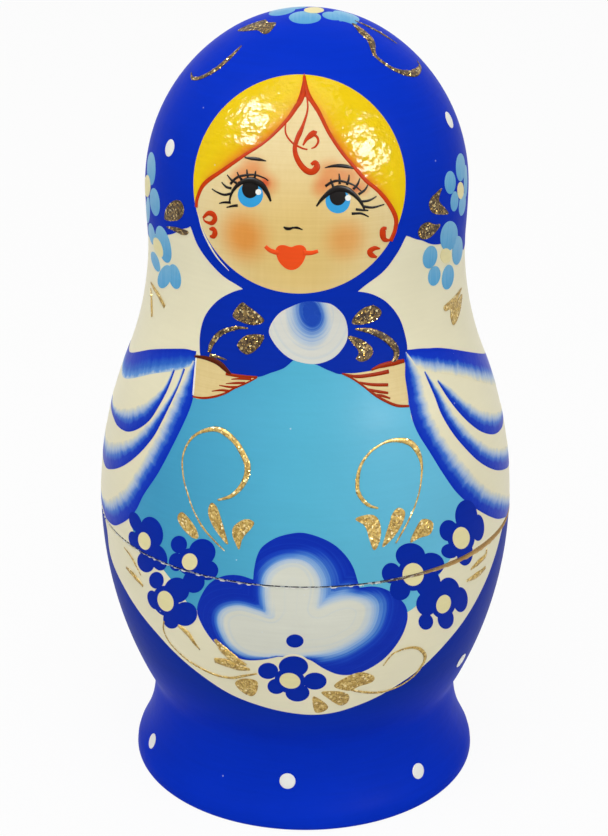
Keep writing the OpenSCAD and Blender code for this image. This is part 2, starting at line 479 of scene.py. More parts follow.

# %% [markdown]
# ## Plain colours
# Each plain colour is the lacquer group with its own base colour. Blue and black keep a low gloss, since
# the lamps hardly show on them in the photograph. The yellow hair carries two bright glints, so it is
# the glossiest. The large blue has painted light and shade in it: it is lighter on the head and the foot,
# which look up, and darker on the belly between them. The apron is darker on the left.

# %% Mix the plain colours
materials = {}


def new_material(name, gloss_level=0.2):
    """Material with an empty tree around its Principled shader."""
    material = bpy.data.materials.new(name)
    material.use_nodes = True
    shader = material.node_tree.nodes["Principled BSDF"]
    shader.inputs["Specular IOR Level"].default_value = gloss_level
    materials[name] = material
    return material.node_tree, shader


def use_group(tree, group, **values):
    """Places a shared group in a material with its own values."""
    return add_node(tree, "ShaderNodeGroup", node_tree=group, **values)


def finish_with(shader, node, colour=None):
    """Feeds a group's colour, or another one, and its roughness and normal to the shader."""
    wire(shader, Base_Color=colour or node.outputs["Color"],
         Roughness=node.outputs["Roughness"], Normal=node.outputs["Normal"])


def uneven(tree, axis, start, end, stops):
    """Colour that changes along an axis of the piece."""
    here = add_node(tree, "ShaderNodeSeparateXYZ", i0=place_in(tree)).outputs
    return ramp_of(share_of(here[axis], start, end), stops)


# Painted light and shade: lighter blue on the foot and the head, which look up to the lamp, darker on the
# belly.
BLUE_SHADED_UPWARDS = ("Z", 0.0, 0.16, [
    (0.0, "#0631c0"), (0.12, "#0730be"), (0.2, "#0c2e9c"), (0.6, "#0c2ea2"), (0.78, "#0730b8"),
    (1.0, "#0633c8")])
# The apron is darker on the left and lighter on the right.
SKY_ACROSS = ("X", -0.04, 0.04, [(0.14, "#419cc3"), (0.5, "#56b4d2"), (0.82, "#68bedc")])
PLAIN = {
    "royal blue": (BLUE_SHADED_UPWARDS, 0.4, 0.18, 0.34, 0.012, 0.12),
    "flower blue": ("#0a2ca4", 0.4, 0.18, 0.24, 0.015, 0.1),
    "sky blue": (SKY_ACROSS, 0.5, 0.14, 0.3, 0.08, 0.06),
    "cream": ("#ece5c3", 0.0, 0.14, 0.3, 0.2, 0.04),
    "petal centre": ("#ebe0a6", 0.0, 0.2, 0.35, 0.2, 0.1),
    "white": ("#f3f2ea", 0.0, 0.2, 0.35, 0.2, 0.05),
    "black": ("#100a08", 0.2, 0.2, 0.3, 0.1, 0.1),
    "rust red": ("#c83a0c", 0.0, 0.25, 0.35, 0.04, 0.3),
    "hand red": ("#a02c06", 0.0, 0.25, 0.35, 0.03, 0.3),
    "brown": ("#5a200c", 0.0, 0.25, 0.35, 0.03, 0.3),
    "lip red": ("#f4521a", 0.0, 0.2, 0.35, 0.08, 0.1),
    "iris blue": ("#2f9fdc", 0.0, 0.2, 0.3, 0.15, 0.05),
}
for name, (code, dust_amount, ripple, gloss, level, marks) in PLAIN.items():
    tree, shader = new_material(name, level)
    code_colour = linear(code) if isinstance(code, str) else uneven(tree, *code)
    finish_with(shader, use_group(
        tree, lacquer, Color=code_colour, Dust=dust_amount, Ripple=ripple, Gloss=gloss, Marks=marks))
print("plain colours:", len(PLAIN))
# %% [markdown]
# ## Bare wood, hair and the brushed fades
# The face, the hands and the inside are bare wood. The blush and the shadow over the eyes are dabbed on
# the wood with a nearly dry brush, so they are soft spots in the face's own material, placed by the
# face's paint map. Sleeves, petals and the knot are painted with a brush that holds two colours side by
# side: blue on one edge and white on the other. Their paint map says how far a spot is from the blue
# edge, and a colour ramp with bristle noise does the rest. The seam's edge is painted dark as the shade
# in the gap between the halves, chipped to the white ground on the left, and rubbed down to the wood on
# the right, where a thumb opens the doll.

# %% Mix the wood and the fades
tree, shader = new_material("inside wood", 0.3)
finish_with(shader, use_group(tree, turned_wood, Cut=0.5))
tree, shader = new_material("hand wood", 0.25)
finish_with(shader, use_group(
    tree, turned_wood, Light=linear("#e2cb8c"), Dark=linear("#d6bb78"), Cut=0.25))

tree, shader = new_material("seam edge", 0.1)
place = place_in(tree)
axes = add_node(tree, "ShaderNodeSeparateXYZ", i0=place).outputs
rim_angle = sum_of("ARCTAN2", axes["X"], sum_of("MULTIPLY", axes["Y"], -1.0))
rubbed = share_of(rim_angle, 0.3, 0.75, "SMOOTHSTEP")
untouched = share_of(rim_angle, 2.5, 1.9, "SMOOTHSTEP")
thumbed = sum_of("MULTIPLY", rubbed, untouched)
bare = use_group(tree, turned_wood, Light=linear("#d9b878"), Dark=linear("#a87c45"), Cut=0.5)
# Painted shade: the dark colour stands for the shadow in the gap between the halves, with white chips of
# worn paint in it.
chipped = sum_of("GREATER_THAN", noise_of(place, (1500, 1500, 2200), 2), 0.55)
gap_shade_and_chips = blend_of(chipped, linear("#2e2a38"), linear("#c9cdd0"))
finish_with(shader, bare, blend_of(thumbed, gap_shade_and_chips, bare.outputs["Color"]))

FADES = {
    "sleeve fade": (0.36, 7.0, 0.03, 0.3, 0.24, [(0.0, "#0a2fb8"), (0.32, "#123cc0"), (0.52, "#4478d0"),
        (0.74, "#aec2dc"), (1.0, "#ece5c3")]),
    "left cuff": (0.4, 7.0, 0.03, 0.3, 0.24, [(0.0, "#0a2fb8"), (0.35, "#123cc0"), (0.65, "#2f68c8"),
        (0.88, "#6398da"), (1.0, "#b4cbe0")]),
    "right cuff": (0.36, 7.0, 0.03, 0.3, 0.24, [(0.0, "#0a30c0"), (0.42, "#0f38c4"), (0.56, "#3a70d0"),
        (0.76, "#a8c0dc"), (1.0, "#ece5c3")]),
    "petal fade": (0.5, 4.0, 0.04, 0.3, 0.24, [(0.0, "#0c2fb0"), (0.22, "#1842be"), (0.44, "#447cd0"),
        (0.62, "#86aede"), (0.8, "#c2d0da"), (1.0, "#dcddce")]),
    "knot fade": (0.6, 5.0, 0.06, 0.3, 0.24, [(0.0, "#1c48b4"), (0.14, "#3a6cc2"), (0.4, "#86a8d4"),
        (0.7, "#bccad6"), (1.0, "#dadad0")]),
    "side petal": (0.5, 10.0, 0.06, 0.3, 0.24, [(0.0, "#4f9cd0"), (0.45, "#5aa6d4"), (0.75, "#7dbadc"),
        (1.0, "#bfd8e4")]),
    "yellow hair": (0.06, 3.0, 0.12, 1.0, 0.05, [(0.0, "#d8621a"), (0.08, "#e89a12"), (0.2, "#ecbe05"),
        (0.5, "#eeca00"), (1.0, "#edc800")]),
}
for name, (streaks, bristle_count, level, ripple, gloss, stops) in FADES.items():
    tree, shader = new_material(name, level)
    stroke_marks = use_group(tree, brush, Streaks=streaks, Bristles=bristle_count)
    painted = ramp_of(stroke_marks.outputs["Fade"], stops)
    finish_with(shader, use_group(
        tree, lacquer, Color=painted, Dust=0.25, Ripple=ripple, Gloss=gloss))


def soft_spot(vector, middle, half_sizes):
    """Mask that is 1 in the middle of an oval and fades out at its rim."""
    tree = tree_of(vector)
    mapping = add_node(tree, "ShaderNodeMapping", vector_type="TEXTURE", Vector=vector,
                       Location=(*middle, 0), Scale=(*half_sizes, 1))
    length = add_node(tree, "ShaderNodeVectorMath", operation="LENGTH", i0=mapping).outputs["Value"]
    return share_of(length, 1.0, 0.15, "SMOOTHSTEP")


def dab_face(spots):
    """Wood of the face with soft spots of colour at places of its paint map."""
    tree, shader = new_material("face wood", 0.15)
    wood = use_group(tree, turned_wood, Light=linear("#edd9a4"), Dark=linear("#e3cb90"), Cut=0.15)
    paint_map = add_node(tree, "ShaderNodeUVMap", uv_map="Paint")
    colour = wood.outputs["Color"]
    for middle, half_sizes, code, strength in spots:
        mask = sum_of("MULTIPLY", soft_spot(paint_map, middle, half_sizes), strength)
        dabbed = blend_of(1.0, colour, linear(code), "MULTIPLY")
        colour = blend_of(mask, colour, dabbed)
    finish_with(shader, wood, colour)


# %% [markdown]
# ## Glitter
# The gold is glitter glue: a clear brown-gold gel full of tiny flakes. A fine cell pattern gives each
# flake its own tone and tilt. The gel lets its ground show, so the gold is duller on blue than on cream.
# Later a few thousand real flakes are scattered over the same strokes, so that the gold sparkles when
# the doll turns.

# %% Mix the glitter
GLITTERS = {
    "gold glitter": (0.4, [(0.0, "#8a6c2c"), (0.35, "#ae8e42"), (0.7, "#c0a254"), (0.92, "#d8bd74"),
        (1.0, "#f4e6b4")]),
    "dull glitter": (0.2, [(0.0, "#2c2018"), (0.35, "#483828"), (0.7, "#665234"), (0.92, "#967c4a"),
        (1.0, "#e4d4a0")]),
}
for name, (level, stops) in GLITTERS.items():
    tree, shader = new_material(name, level)
    flakes = add_node(tree, "ShaderNodeTexVoronoi", Vector=place_in(tree), Scale=2600)
    tone = add_node(tree, "ShaderNodeSeparateColor", Color=flakes.outputs["Color"]).outputs
    wire(shader, Base_Color=ramp_of(tone["Red"], stops),
         Metallic=sum_of("MULTIPLY", tone["Green"], 0.5),
         Roughness=sum_of("MULTIPLY_ADD", tone["Blue"], 0.35, 0.28),
         Normal=bump_of(tone["Red"], 0.6, 0.0003))

tree, shader = new_material("glitter flake", 0.5)
sheen = noise_of(place_in(tree), (900, 900, 900), 1)
wire(shader, Base_Color=ramp_of(sheen, [(0.3, "#8a6420"), (0.5, "#c99f48"), (0.66, "#f2dc9a")]),
     Metallic=0.85, Roughness=sum_of("MULTIPLY_ADD", sheen, 0.3, 0.15))
print("finishes:", sorted(materials))
# %% [markdown]
# ## Turning the wood
# On the lathe a section is swept round the axis. A Screw modifier could do that. A small Geometry Nodes
# tree does it here, because it can also mark which rows are painted outside and which are bare wood in
# the hollow and on the lock. The tree lays a grid, looks up the section's radius and height for each
# row, wraps the grid round the axis and welds it shut.

# %% Make helpers for trees
INTEGER = "NodeSocketInt"
MATERIAL = "NodeSocketMaterial"


def geometry_tree(name, inputs):
    """Geometry Nodes tree with named inputs. Returns it, the sockets of its inlet and its identifiers."""
    tree = bpy.data.node_groups.new(name, "GeometryNodeTree")
    for way in ("INPUT", "OUTPUT"):
        tree.interface.new_socket("Geometry", in_out=way, socket_type="NodeSocketGeometry")
    keys = {}
    for label, kind in inputs:
        keys[label] = tree.interface.new_socket(label, in_out="INPUT", socket_type=kind).identifier
    return tree, add_node(tree, "NodeGroupInput").outputs, keys


def attribute(tree, name, kind):
    """Reads an attribute of the mesh."""
    return add_node(tree, "GeometryNodeInputNamedAttribute", data_type=kind, Name=name)


def finish_tree(tree, geometry, *coats):
    """Ends a tree with a real mesh. Each coat is a material and the faces that get it, or None for all."""
    result = add_node(tree, "GeometryNodeRealizeInstances", Geometry=geometry)
    for material, chosen in coats:
        result = add_node(tree, "GeometryNodeSetMaterial", Geometry=result, Material=material)
        if chosen:
            wire(result, Selection=chosen)
    add_node(tree, "NodeGroupOutput", Geometry=result)


def grow(name, tree, keys, mesh, **values):
    """Runs a tree on a mesh and returns the result as a plain mesh."""
    carrier = bpy.data.objects.new(name, mesh)
    scene.collection.objects.link(carrier)
    modifier = carrier.modifiers.new(name, "NODES")
    modifier.node_group = tree
    for label, value in values.items():
        modifier[keys[label.replace("_", " ")]] = value
    sight = bpy.context.evaluated_depsgraph_get()
    result = bpy.data.meshes.new_from_object(
        carrier.evaluated_get(sight), preserve_all_data_layers=True, depsgraph=sight)
    result.name = name
    carrier.modifiers.remove(modifier)
    bpy.data.objects.remove(carrier)
    return result


print("socket kinds:", INTEGER, MATERIAL)

# %% Build the lathe tree
lathe, given, lathe_keys = geometry_tree("Lathe", [
    ("Rows", INTEGER), ("Segments", INTEGER), ("Painted Rows", INTEGER),
    ("Paint", MATERIAL), ("Seam", MATERIAL), ("Wood", MATERIAL)])
columns = sum_of("ADD", given["Segments"], 1)
marked = add_node(lathe, "GeometryNodeMeshGrid", Vertices_X=given["Rows"], Vertices_Y=columns)
count = add_node(lathe, "GeometryNodeInputIndex")
face_row = sum_of("FLOOR", sum_of("DIVIDE", count, given["Segments"]))
is_paint = sum_of("LESS_THAN", face_row, given["Painted Rows"])
is_edge = sum_of("COMPARE", face_row, given["Painted Rows"], 0.25)
for label, value in (("painted", is_paint), ("seam edge", is_edge)):
    marked = add_node(lathe, "GeometryNodeStoreNamedAttribute", data_type="BOOLEAN", domain="FACE",
                      Geometry=marked, Name=label, Value=value)
row = sum_of("FLOOR", sum_of("DIVIDE", count, columns))
column = sum_of("SUBTRACT", count, sum_of("MULTIPLY", row, columns))
angle = sum_of("MULTIPLY", sum_of("DIVIDE", column, given["Segments"]), math.tau)
lookup = add_node(lathe, "GeometryNodeSampleIndex", data_type="FLOAT_VECTOR", domain="POINT",
                  Geometry=given["Geometry"], Index=row, Value=add_node(lathe, "GeometryNodeInputPosition"))
found = add_node(lathe, "ShaderNodeSeparateXYZ", i0=lookup).outputs
side = sum_of("MULTIPLY", found["X"], sum_of("SINE", angle))
front = sum_of("MULTIPLY", found["X"], sum_of("COSINE", angle))
spot = add_node(lathe, "ShaderNodeCombineXYZ", X=side, Y=sum_of("MULTIPLY", front, -1), Z=found["Z"])
wrapped = add_node(lathe, "GeometryNodeSetPosition", Geometry=marked, Position=spot)
welded = add_node(lathe, "GeometryNodeMergeByDistance", Geometry=wrapped, Distance=2e-7)
smooth = add_node(lathe, "GeometryNodeSetShadeSmooth", domain="FACE", Geometry=welded, Shade_Smooth=True)
bend = add_node(lathe, "GeometryNodeInputMeshEdgeAngle").outputs["Unsigned Angle"]
edged = add_node(lathe, "GeometryNodeSetShadeSmooth", domain="EDGE", Geometry=smooth,
                 Selection=sum_of("GREATER_THAN", bend, 0.5), Shade_Smooth=False)
finish_tree(lathe, edged, (given["Wood"], None), (given["Paint"], attribute(lathe, "painted", "BOOLEAN")),
            (given["Seam"], attribute(lathe, "seam edge", "BOOLEAN")))
print("lathe inputs:", list(lathe_keys))

# %% [markdown]
# ## Thirteen turned pieces
# All dolls of a nest share one outline, each a little smaller than the one around it. So the smooth
# outer line is scaled and set on each doll's own standing height, and the lock and the hollow follow
# from that doll's own section. Upper halves start out cream and lower halves blue, as their largest
# coat, which runs over the seam's bevel up to its last edge. That edge gets the seam's colour: painted
# shade of the gap between the halves, or bare wood where a thumb rubs. Each turned piece stands for its
# solid.

# %% Make helpers for turning
OUTSIDE_STEP = 1.1
SEGMENTS = 192
INNER_SEGMENTS = 128
SMALLEST_SEGMENTS = 96
BASE_COAT = {"bottom": "royal blue", "top": "cream"}
size_of = {}
stand_of = {}
pieces = []


def keep(mesh, name, half, node=None):
    """Makes a finished object of a mesh, on the body of its half."""
    piece = bpy.data.objects.new(name, mesh)
    scene.collection.objects.link(piece)
    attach(piece, half)
    if node:
        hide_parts(node)
    pieces.append(piece)


def volume_of(mesh):
    """Signed volume of a closed mesh. It is negative if the mesh is inside out."""
    places, triangles = mesh_arrays(mesh)
    a, b, c = (places[triangles[:, i]] for i in range(3))
    return float((a * np.cross(b, c)).sum() / 6)


def outline(low_s, high_s, step):
    """Points of the smooth line between two lengths, in mm."""
    s = np.linspace(low_s, high_s, max(2, int(abs(high_s - low_s) / step) + 1))
    return np.stack([np.interp(s, line_s, line[:, i]) for i in range(2)], 1)


def turn_shell(name, painted_points, rest, segments, coat, seam="seam edge", wood="inside wood"):
    """Sweeps a section. Its first points get the coat, then comes the seam's edge, and the rest is bare."""
    section = np.concatenate([painted_points, rest])
    painted_rows = len(painted_points) - 1
    if section[0, 0] > 0:
        section = np.concatenate([[(0, section[0, 1])], section])
        painted_rows += 1
    if section[-1, 0] > 0:
        section = np.concatenate([section, [(0, section[-1, 1])]])
    profile = bpy.data.meshes.new(name)
    profile.from_pydata([(r * MM, 0, z * MM) for r, z in section], [], [])
    shell = grow(
        name, lathe, lathe_keys, profile, Rows=len(section), Segments=segments, Painted_Rows=painted_rows,
        Paint=materials[coat], Seam=materials[seam], Wood=materials[wood])
    if volume_of(shell) < 0:
        shell.flip_normals()
    return shell


print("a point of the outline every", OUTSIDE_STEP, "mm")

# %% Turn the shells
rims = np.stack(line_at(np.array((PAINT_LOW_S, PAINT_HIGH_S)))[:2], 1)
for number, doll in enumerate(DOLLS):
    low_part = sections[f"{doll}_bottom"]
    high_part = sections[f"{doll}_top"]
    stand_of[doll] = low_part[:, 1].min()
    size_of[doll] = (high_part[:, 1].max() - stand_of[doll]) / line[-1, 1]
    shift = (0, stand_of[doll])
    segments = SEGMENTS if number == 0 else INNER_SEGMENTS
    below = np.concatenate([foot_edge, outline(0, SEAM_LOW_S, OUTSIDE_STEP)[1:], rims[:1]])
    below = below * size_of[doll] + shift
    lock = low_part[np.argmax(low_part[:, 0]) + 1:]
    above = np.concatenate([outline(crown_s, SEAM_HIGH_S, OUTSIDE_STEP), rims[1:]])
    above = above * size_of[doll] + shift
    socket = high_part[np.argmax(high_part[:, 0]) + 1:]
    for half, painted_points, rest in (("bottom", below, lock), ("top", above, socket)):
        name = f"{doll}_{half}"
        shell = turn_shell(f"{name}_shell", painted_points, rest, segments, BASE_COAT[half])
        keep(shell, f"{name}_shell", name, name)
stand_of["smallest"] = sections["smallest_doll"][:, 1].min()
size_of["smallest"] = (sections["smallest_doll"][:, 1].max() - stand_of["smallest"]) / line[-1, 1]
below, above = [
    points * size_of["smallest"] + (0, stand_of["smallest"]) for points in (
        np.concatenate([foot_edge, outline(0, SEAM_S, OUTSIDE_STEP)[1:]]),
        outline(SEAM_S, crown_s, OUTSIDE_STEP)[1:])]
body = turn_shell("smallest_doll_body", below, above, SMALLEST_SEGMENTS, "royal blue", "cream", "cream")
keep(body, "smallest_doll_body", "smallest_doll", "smallest_doll")
print("turned:", len(pieces), "sizes:", {doll: round(value, 4) for doll, value in size_of.items()})
# %% [markdown]
# ## The painter's tools
# A painter works on a curved surface but thinks of flat shapes. So do these tools. `cast` turns a pixel
# of the photograph into an angle and a length `s` on the wood. `lay` turns those back into a place.
# `fill` takes closed lines, cuts their inside into small triangles that follow the wood, and makes a
# thin closed skin of paint from them. A texture could carry the same picture, but a skin keeps its edge
# crisp at any distance.

# %% Find places on the wood
NEAREST = 300
FARTHEST = 480
LOOKS = 361
HALVINGS = 24


def lay(theta, s, lift):
    """Places on the wood, lifted off it by a few hundredths of a millimetre."""
    radius, height, out_r, out_z = line_at(s)
    radius = radius + out_r * lift
    return np.stack([radius * np.sin(theta), -radius * np.cos(theta), height + out_z * lift], -1)


def outward(theta, s):
    """Directions straight out of the wood."""
    _, _, out_r, out_z = line_at(s)
    return np.stack([out_r * np.sin(theta), -out_r * np.cos(theta), out_z], -1)


def cast(pixels):
    """Angle and length on the wood under pixels of the photograph."""
    pixels = np.asarray(pixels, float)
    across = pixels[:, 0] - PHOTO_W / 2
    down = pixels[:, 1] - PHOTO_H / 2
    ray = FOCAL_PX * ahead + across[:, None] * camera_right - down[:, None] * camera_up
    ray /= np.linalg.norm(ray, axis=1)[:, None]

    def outside_by(reach):
        spot = EYE + ray[:, None] * reach[..., None]
        radius = np.interp(spot[..., 2], line[:, 1], line[:, 0], left=-9, right=-9)
        return np.hypot(spot[..., 0], spot[..., 1]) - radius

    steps = np.linspace(NEAREST, FARTHEST, LOOKS)
    gaps = outside_by(np.broadcast_to(steps, (len(pixels), len(steps))))
    inside = gaps < 0
    hit = inside.any(1)
    index = np.where(hit, inside.argmax(1), gaps.argmin(1))
    far = steps[index]
    near = steps[np.maximum(index - 1, 0)]
    near = np.where(hit, near, far)
    for _ in range(HALVINGS):
        middle = (near + far) / 2
        is_in = outside_by(middle[:, None])[:, 0] < 0
        far = np.where(is_in, middle, far)
        near = np.where(is_in, near, middle)
    spot = EYE + ray * far[:, None]
    s = np.interp(spot[:, 2], line[:, 1], line_s)
    return np.stack([np.arctan2(spot[:, 0], -spot[:, 1]), s], 1)


print("the middle of the picture is at angle and length", cast([(304, 418)]).round(2).tolist())

# %% Unroll the wood
ROUND = 36.0


def side_chart(spots):
    """Flat chart for the body: angle as millimetres round, and length up."""
    return spots * (ROUND, 1)


def side_spots(points):
    """Angles and lengths back from the side chart."""
    return points / (ROUND, 1)


def crown_chart(spots):
    """Flat chart for the head: the crown is its middle and the face lies below it."""
    reach = crown_s - spots[:, 1]
    return np.stack([reach * np.sin(spots[:, 0]), -reach * np.cos(spots[:, 0])], 1)


def crown_spots(points):
    """Angles and lengths back from the crown chart."""
    return np.stack([np.arctan2(points[:, 0], -points[:, 1]), crown_s - np.hypot(*points.T)], 1)


CHARTS = {"side": (side_chart, side_spots), "crown": (crown_chart, crown_spots)}
print("charts:", list(CHARTS))

# %% [markdown]
# ## Lines and shapes
# A painter's line is smooth, so a few points are enough for it. A curve object would give a Bezier line.
# A Catmull-Rom spline is used here, since it runs through the very points that were seen in the picture.

# %% Draw smooth lines
def flow(points, step, closed=False):
    """Smooth line through points (a Catmull-Rom spline), with points about a step apart."""
    points = np.asarray(points, float)
    if closed:
        padded = np.concatenate([points[-1:], points, points[:2]])
    else:
        padded = np.concatenate([2 * points[:1] - points[1:2], points, 2 * points[-1:] - points[-2:-1]])
    result = []
    for p0, p1, p2, p3 in zip(padded, padded[1:], padded[2:], padded[3:]):
        count = max(1, int(np.ceil(np.hypot(*(p2 - p1)) / step)))
        t = np.linspace(0, 1, count, endpoint=False)[:, None]
        result.append(0.5 * (2 * p1 + (p2 - p0) * t + (2 * p0 - 5 * p1 + 4 * p2 - p3) * t ** 2
                             + (3 * p1 - p0 - 3 * p2 + p3) * t ** 3))
    if not closed:
        result.append(points[-1:])
    return np.concatenate(result)


def trace(pixels, chart, step, closed=False):
    """Smooth line in a chart through pixels of the photograph."""
    return flow(CHARTS[chart][0](cast(pixels)), step, closed)


def cornered(parts, chart, step):
    """Smooth lines joined end to end, with a corner where one meets the next."""
    return np.concatenate([trace(part, chart, step)[:-1] for part in parts])


def oval(middle, half_sizes, tilt=0.0, count=20):
    """Pixels round an oval of the photograph."""
    angles = np.arange(count) * math.tau / count
    ring = np.stack([np.cos(angles) * half_sizes[0], np.sin(angles) * half_sizes[1]], 1)
    lean = math.radians(tilt)
    turned = ring @ np.array(((math.cos(lean), math.sin(lean)), (-math.sin(lean), math.cos(lean))))
    return turned + middle


print("points of an oval:", len(oval((0, 0), (1, 1))))

# %% Measure shapes
def is_inside(points, loop):
    """Which points lie inside a closed loop."""
    x, y = points.T
    result = np.zeros(len(points), bool)
    for (x0, y0), (x1, y1) in zip(loop, np.roll(loop, -1, 0)):
        crosses = (y0 > y) != (y1 > y)
        if y0 != y1:
            result ^= crosses & (x < (x1 - x0) * (y - y0) / (y1 - y0) + x0)
    return result


def distance_to(points, path):
    """Distance from points to a line of points."""
    best = np.full(len(points), np.inf)
    for a, b in zip(path, path[1:]):
        run = b - a
        share = np.clip((points - a) @ run / max(run @ run, 1e-12), 0, 1)
        best = np.minimum(best, np.hypot(*(points - a - share[:, None] * run).T))
    return best


print("inside the oval:", is_inside(np.array([(0, 0), (2, 2)]), oval((0, 0), (1, 1))).tolist())

# %% [markdown]
# ## Cutting a skin of paint
# Mathutils has a constrained triangulation. It takes the edge of a shape and points inside it and
# returns triangles that keep that edge. Shapes that overlap, such as the petals of a flower, are joined
# on the way. The doll parts at its seam, so every shape is also cut there, and each side goes to its half.

# %% Cut flat shapes
detail = 1.0
SMALLEST_AREA = 1e-7
ROW_SHARE = 0.866


def wall_round(triangles):
    """Edges that belong to one triangle only, in its turning sense."""
    edges = np.concatenate([triangles[:, [0, 1]], triangles[:, [1, 2]], triangles[:, [2, 0]]])
    keys = {(int(a), int(b)) for a, b in edges}
    return np.array([(a, b) for a, b in keys if (b, a) not in keys], int).reshape(-1, 2)


def is_painted(points, loops, holes):
    """Which points lie in one of the loops and in none of the holes."""
    kept = np.any([is_inside(points, loop) for loop in loops], 0)
    for hole in holes:
        kept &= ~is_inside(points, hole)
    return kept


def cut_flat(loops, holes, levels, grid):
    """Small triangles in the loops and outside the holes, also cut along some levels of a chart."""
    points = []
    edges = []

    def add_line(line_points, is_closed):
        start = sum(map(len, points))
        count = len(line_points)
        points.append(line_points)
        edges.extend((start + i, start + (i + 1) % count) for i in range(count - (not is_closed)))

    for loop in loops + holes:
        add_line(loop, True)
    rim = np.concatenate(points)
    (left, low), (right, high) = rim.min(0), rim.max(0)
    for level in levels:
        if low < level < high:
            x = np.arange(left - 1, right + 1 + grid, grid)
            add_line(np.stack([x, np.full(len(x), level)], 1), False)
    y = np.arange(low, high, grid * ROW_SHARE)
    mesh_x, mesh_y = np.meshgrid(np.arange(left, right, grid), y)
    mesh_x = mesh_x + (np.arange(len(y)) % 2)[:, None] * grid / 2
    inner = np.stack([mesh_x.ravel(), mesh_y.ravel()], 1)
    points.append(inner[is_painted(inner, loops, holes)])
    result = delaunay_2d_cdt([Vector(p) for p in np.concatenate(points)], edges, [], 0, 1e-4)
    flat = np.array([tuple(v) for v in result[0]])
    triangles = np.array(result[2], int)
    sides = np.diff(flat[triangles], axis=1)
    area = sides[:, 0, 0] * sides[:, 1, 1] - sides[:, 0, 1] * sides[:, 1, 0]
    triangles[area < 0] = triangles[area < 0][:, ::-1]
    kept = is_painted(flat[triangles].mean(1), loops, holes) & (np.abs(area) > SMALLEST_AREA)
    return flat, triangles[kept]


square = np.array([(0, 0), (6, 0), (6, 6), (0, 6)], float)
print("triangles of a square:", len(cut_flat([square], [], (), 1.2)[1]))

# %% Lay a skin
Skin = namedtuple("Skin", "part half colour places faces normals uv")
skins = []
SKIN = 0.07
LIFT = 0.03
LEVEL = 0.02
UV_SCALE = 0.1


def fill(part, colour, loops, level, chart="side", holes=(), paint_map=None, grid=1.2):
    """Lays one coat: the inside of the loops without the holes, as a thin closed skin on the wood.

    The level is the coat's place in the stack of coats. The grid is the size of its triangles in mm.
    """
    to_spots = CHARTS[chart][1]
    seam_levels = (SEAM_LOW_S, PAINT_LOW_S, PAINT_HIGH_S, SEAM_HIGH_S) if chart == "side" else ()
    flat, triangles = cut_flat(list(loops), list(holes), seam_levels, grid * detail)
    middle_s = to_spots(flat[triangles].mean(1))[:, 1]
    top = LIFT + LEVEL * level
    for half, chosen in (("bottom", middle_s < PAINT_LOW_S), ("top", middle_s > PAINT_HIGH_S)):
        if not chosen.any():
            continue
        used, chosen = np.unique(triangles[chosen], return_inverse=True)
        chosen = chosen.reshape(-1, 3)
        spots = to_spots(flat[used])
        count = len(used)
        places = np.concatenate([lay(*spots.T, top), lay(*spots.T, top - SKIN)])
        facing = outward(*spots.T)
        a, b = wall_round(chosen).T
        walls = np.concatenate([np.stack([b, a, a + count], 1), np.stack([b, a + count, b + count], 1)])
        wall_facing = np.cross(places[b] - places[a], facing[a])
        wall_facing /= np.maximum(np.linalg.norm(wall_facing, axis=1), 1e-9)[:, None]
        faces = np.concatenate([chosen, chosen[:, ::-1] + count, walls])
        normals = np.concatenate([
            facing[chosen].reshape(-1, 3), -facing[chosen[:, ::-1]].reshape(-1, 3),
            np.repeat(np.tile(wall_facing, (2, 1)), 3, axis=0)])
        uv = paint_map(flat[used]) if paint_map else flat[used] * UV_SCALE
        skins.append(Skin(part, half, colour, places, faces, normals, np.concatenate([uv, uv])))


def pixel_fill(part, colour, shapes, level, chart="side", step=0.4, grid=0.8):
    """Lays one coat inside closed lines through pixels of the photograph."""
    loops = [trace(pixels, chart, step * detail, True) for pixels in shapes]
    fill(part, colour, loops, level, chart, grid=grid)


def fade_between(hard, soft):
    """Paint map that runs from 0 at a hard edge to 1 at a soft edge, with the length along the edge."""
    hard = np.asarray(hard)
    measure = along(hard)

    def paint_map(points):
        to_hard = distance_to(points, hard)
        to_soft = distance_to(points, np.asarray(soft))
        nearest = np.argmin(np.hypot(*(points[:, None] - hard[None]).transpose(2, 0, 1)), 1)
        share = to_hard / np.maximum(to_hard + to_soft, 1e-9)
        return np.stack([measure[nearest] * UV_SCALE, share], 1)

    return paint_map


print("skin of paint:", SKIN, "mm")

# %% Join skins into one piece
def collect(name, chosen, scale=1.0, stand=0.0):
    """Joins skins into one mesh with a material for each colour."""
    mesh = bpy.data.meshes.new(name)
    colours = list(dict.fromkeys(skin.colour for skin in chosen))
    starts = np.cumsum([0] + [len(skin.places) for skin in chosen])
    places = np.concatenate([skin.places for skin in chosen]) * scale + (0, 0, stand)
    faces = np.concatenate([skin.faces + start for skin, start in zip(chosen, starts)])
    mesh.vertices.add(len(places))
    mesh.vertices.foreach_set("co", (places * MM).ravel())
    mesh.loops.add(faces.size)
    mesh.loops.foreach_set("vertex_index", faces.ravel())
    mesh.polygons.add(len(faces))
    mesh.polygons.foreach_set("loop_start", np.arange(0, faces.size, 3))
    index = np.concatenate([np.full(len(skin.faces), colours.index(skin.colour)) for skin in chosen])
    mesh.polygons.foreach_set("material_index", index.astype(np.int32))
    mesh.polygons.foreach_set("use_smooth", np.ones(len(faces), bool))
    for colour in colours:
        mesh.materials.append(materials[colour])
    paint_uv = mesh.uv_layers.new(name="Paint")
    uv = np.concatenate([skin.uv[skin.faces.ravel()] for skin in chosen])
    paint_uv.data.foreach_set("uv", uv.ravel())
    mesh.update(calc_edges=True)
    mesh.normals_split_custom_set(np.concatenate([skin.normals for skin in chosen]).tolist())
    return mesh


print("a skin holds:", Skin._fields)
# %% [markdown]
# ## Brush strokes
# Lashes, curls, fingers and gold scrolls are single strokes: thin where the brush lands, thick where it
# is pressed, thin again where it leaves. A stroke is a line of points on the wood with a width and the
# wood's own direction. Geometry Nodes sweeps a flat round profile along it, turned so that the stroke
# lies down on the curved surface.

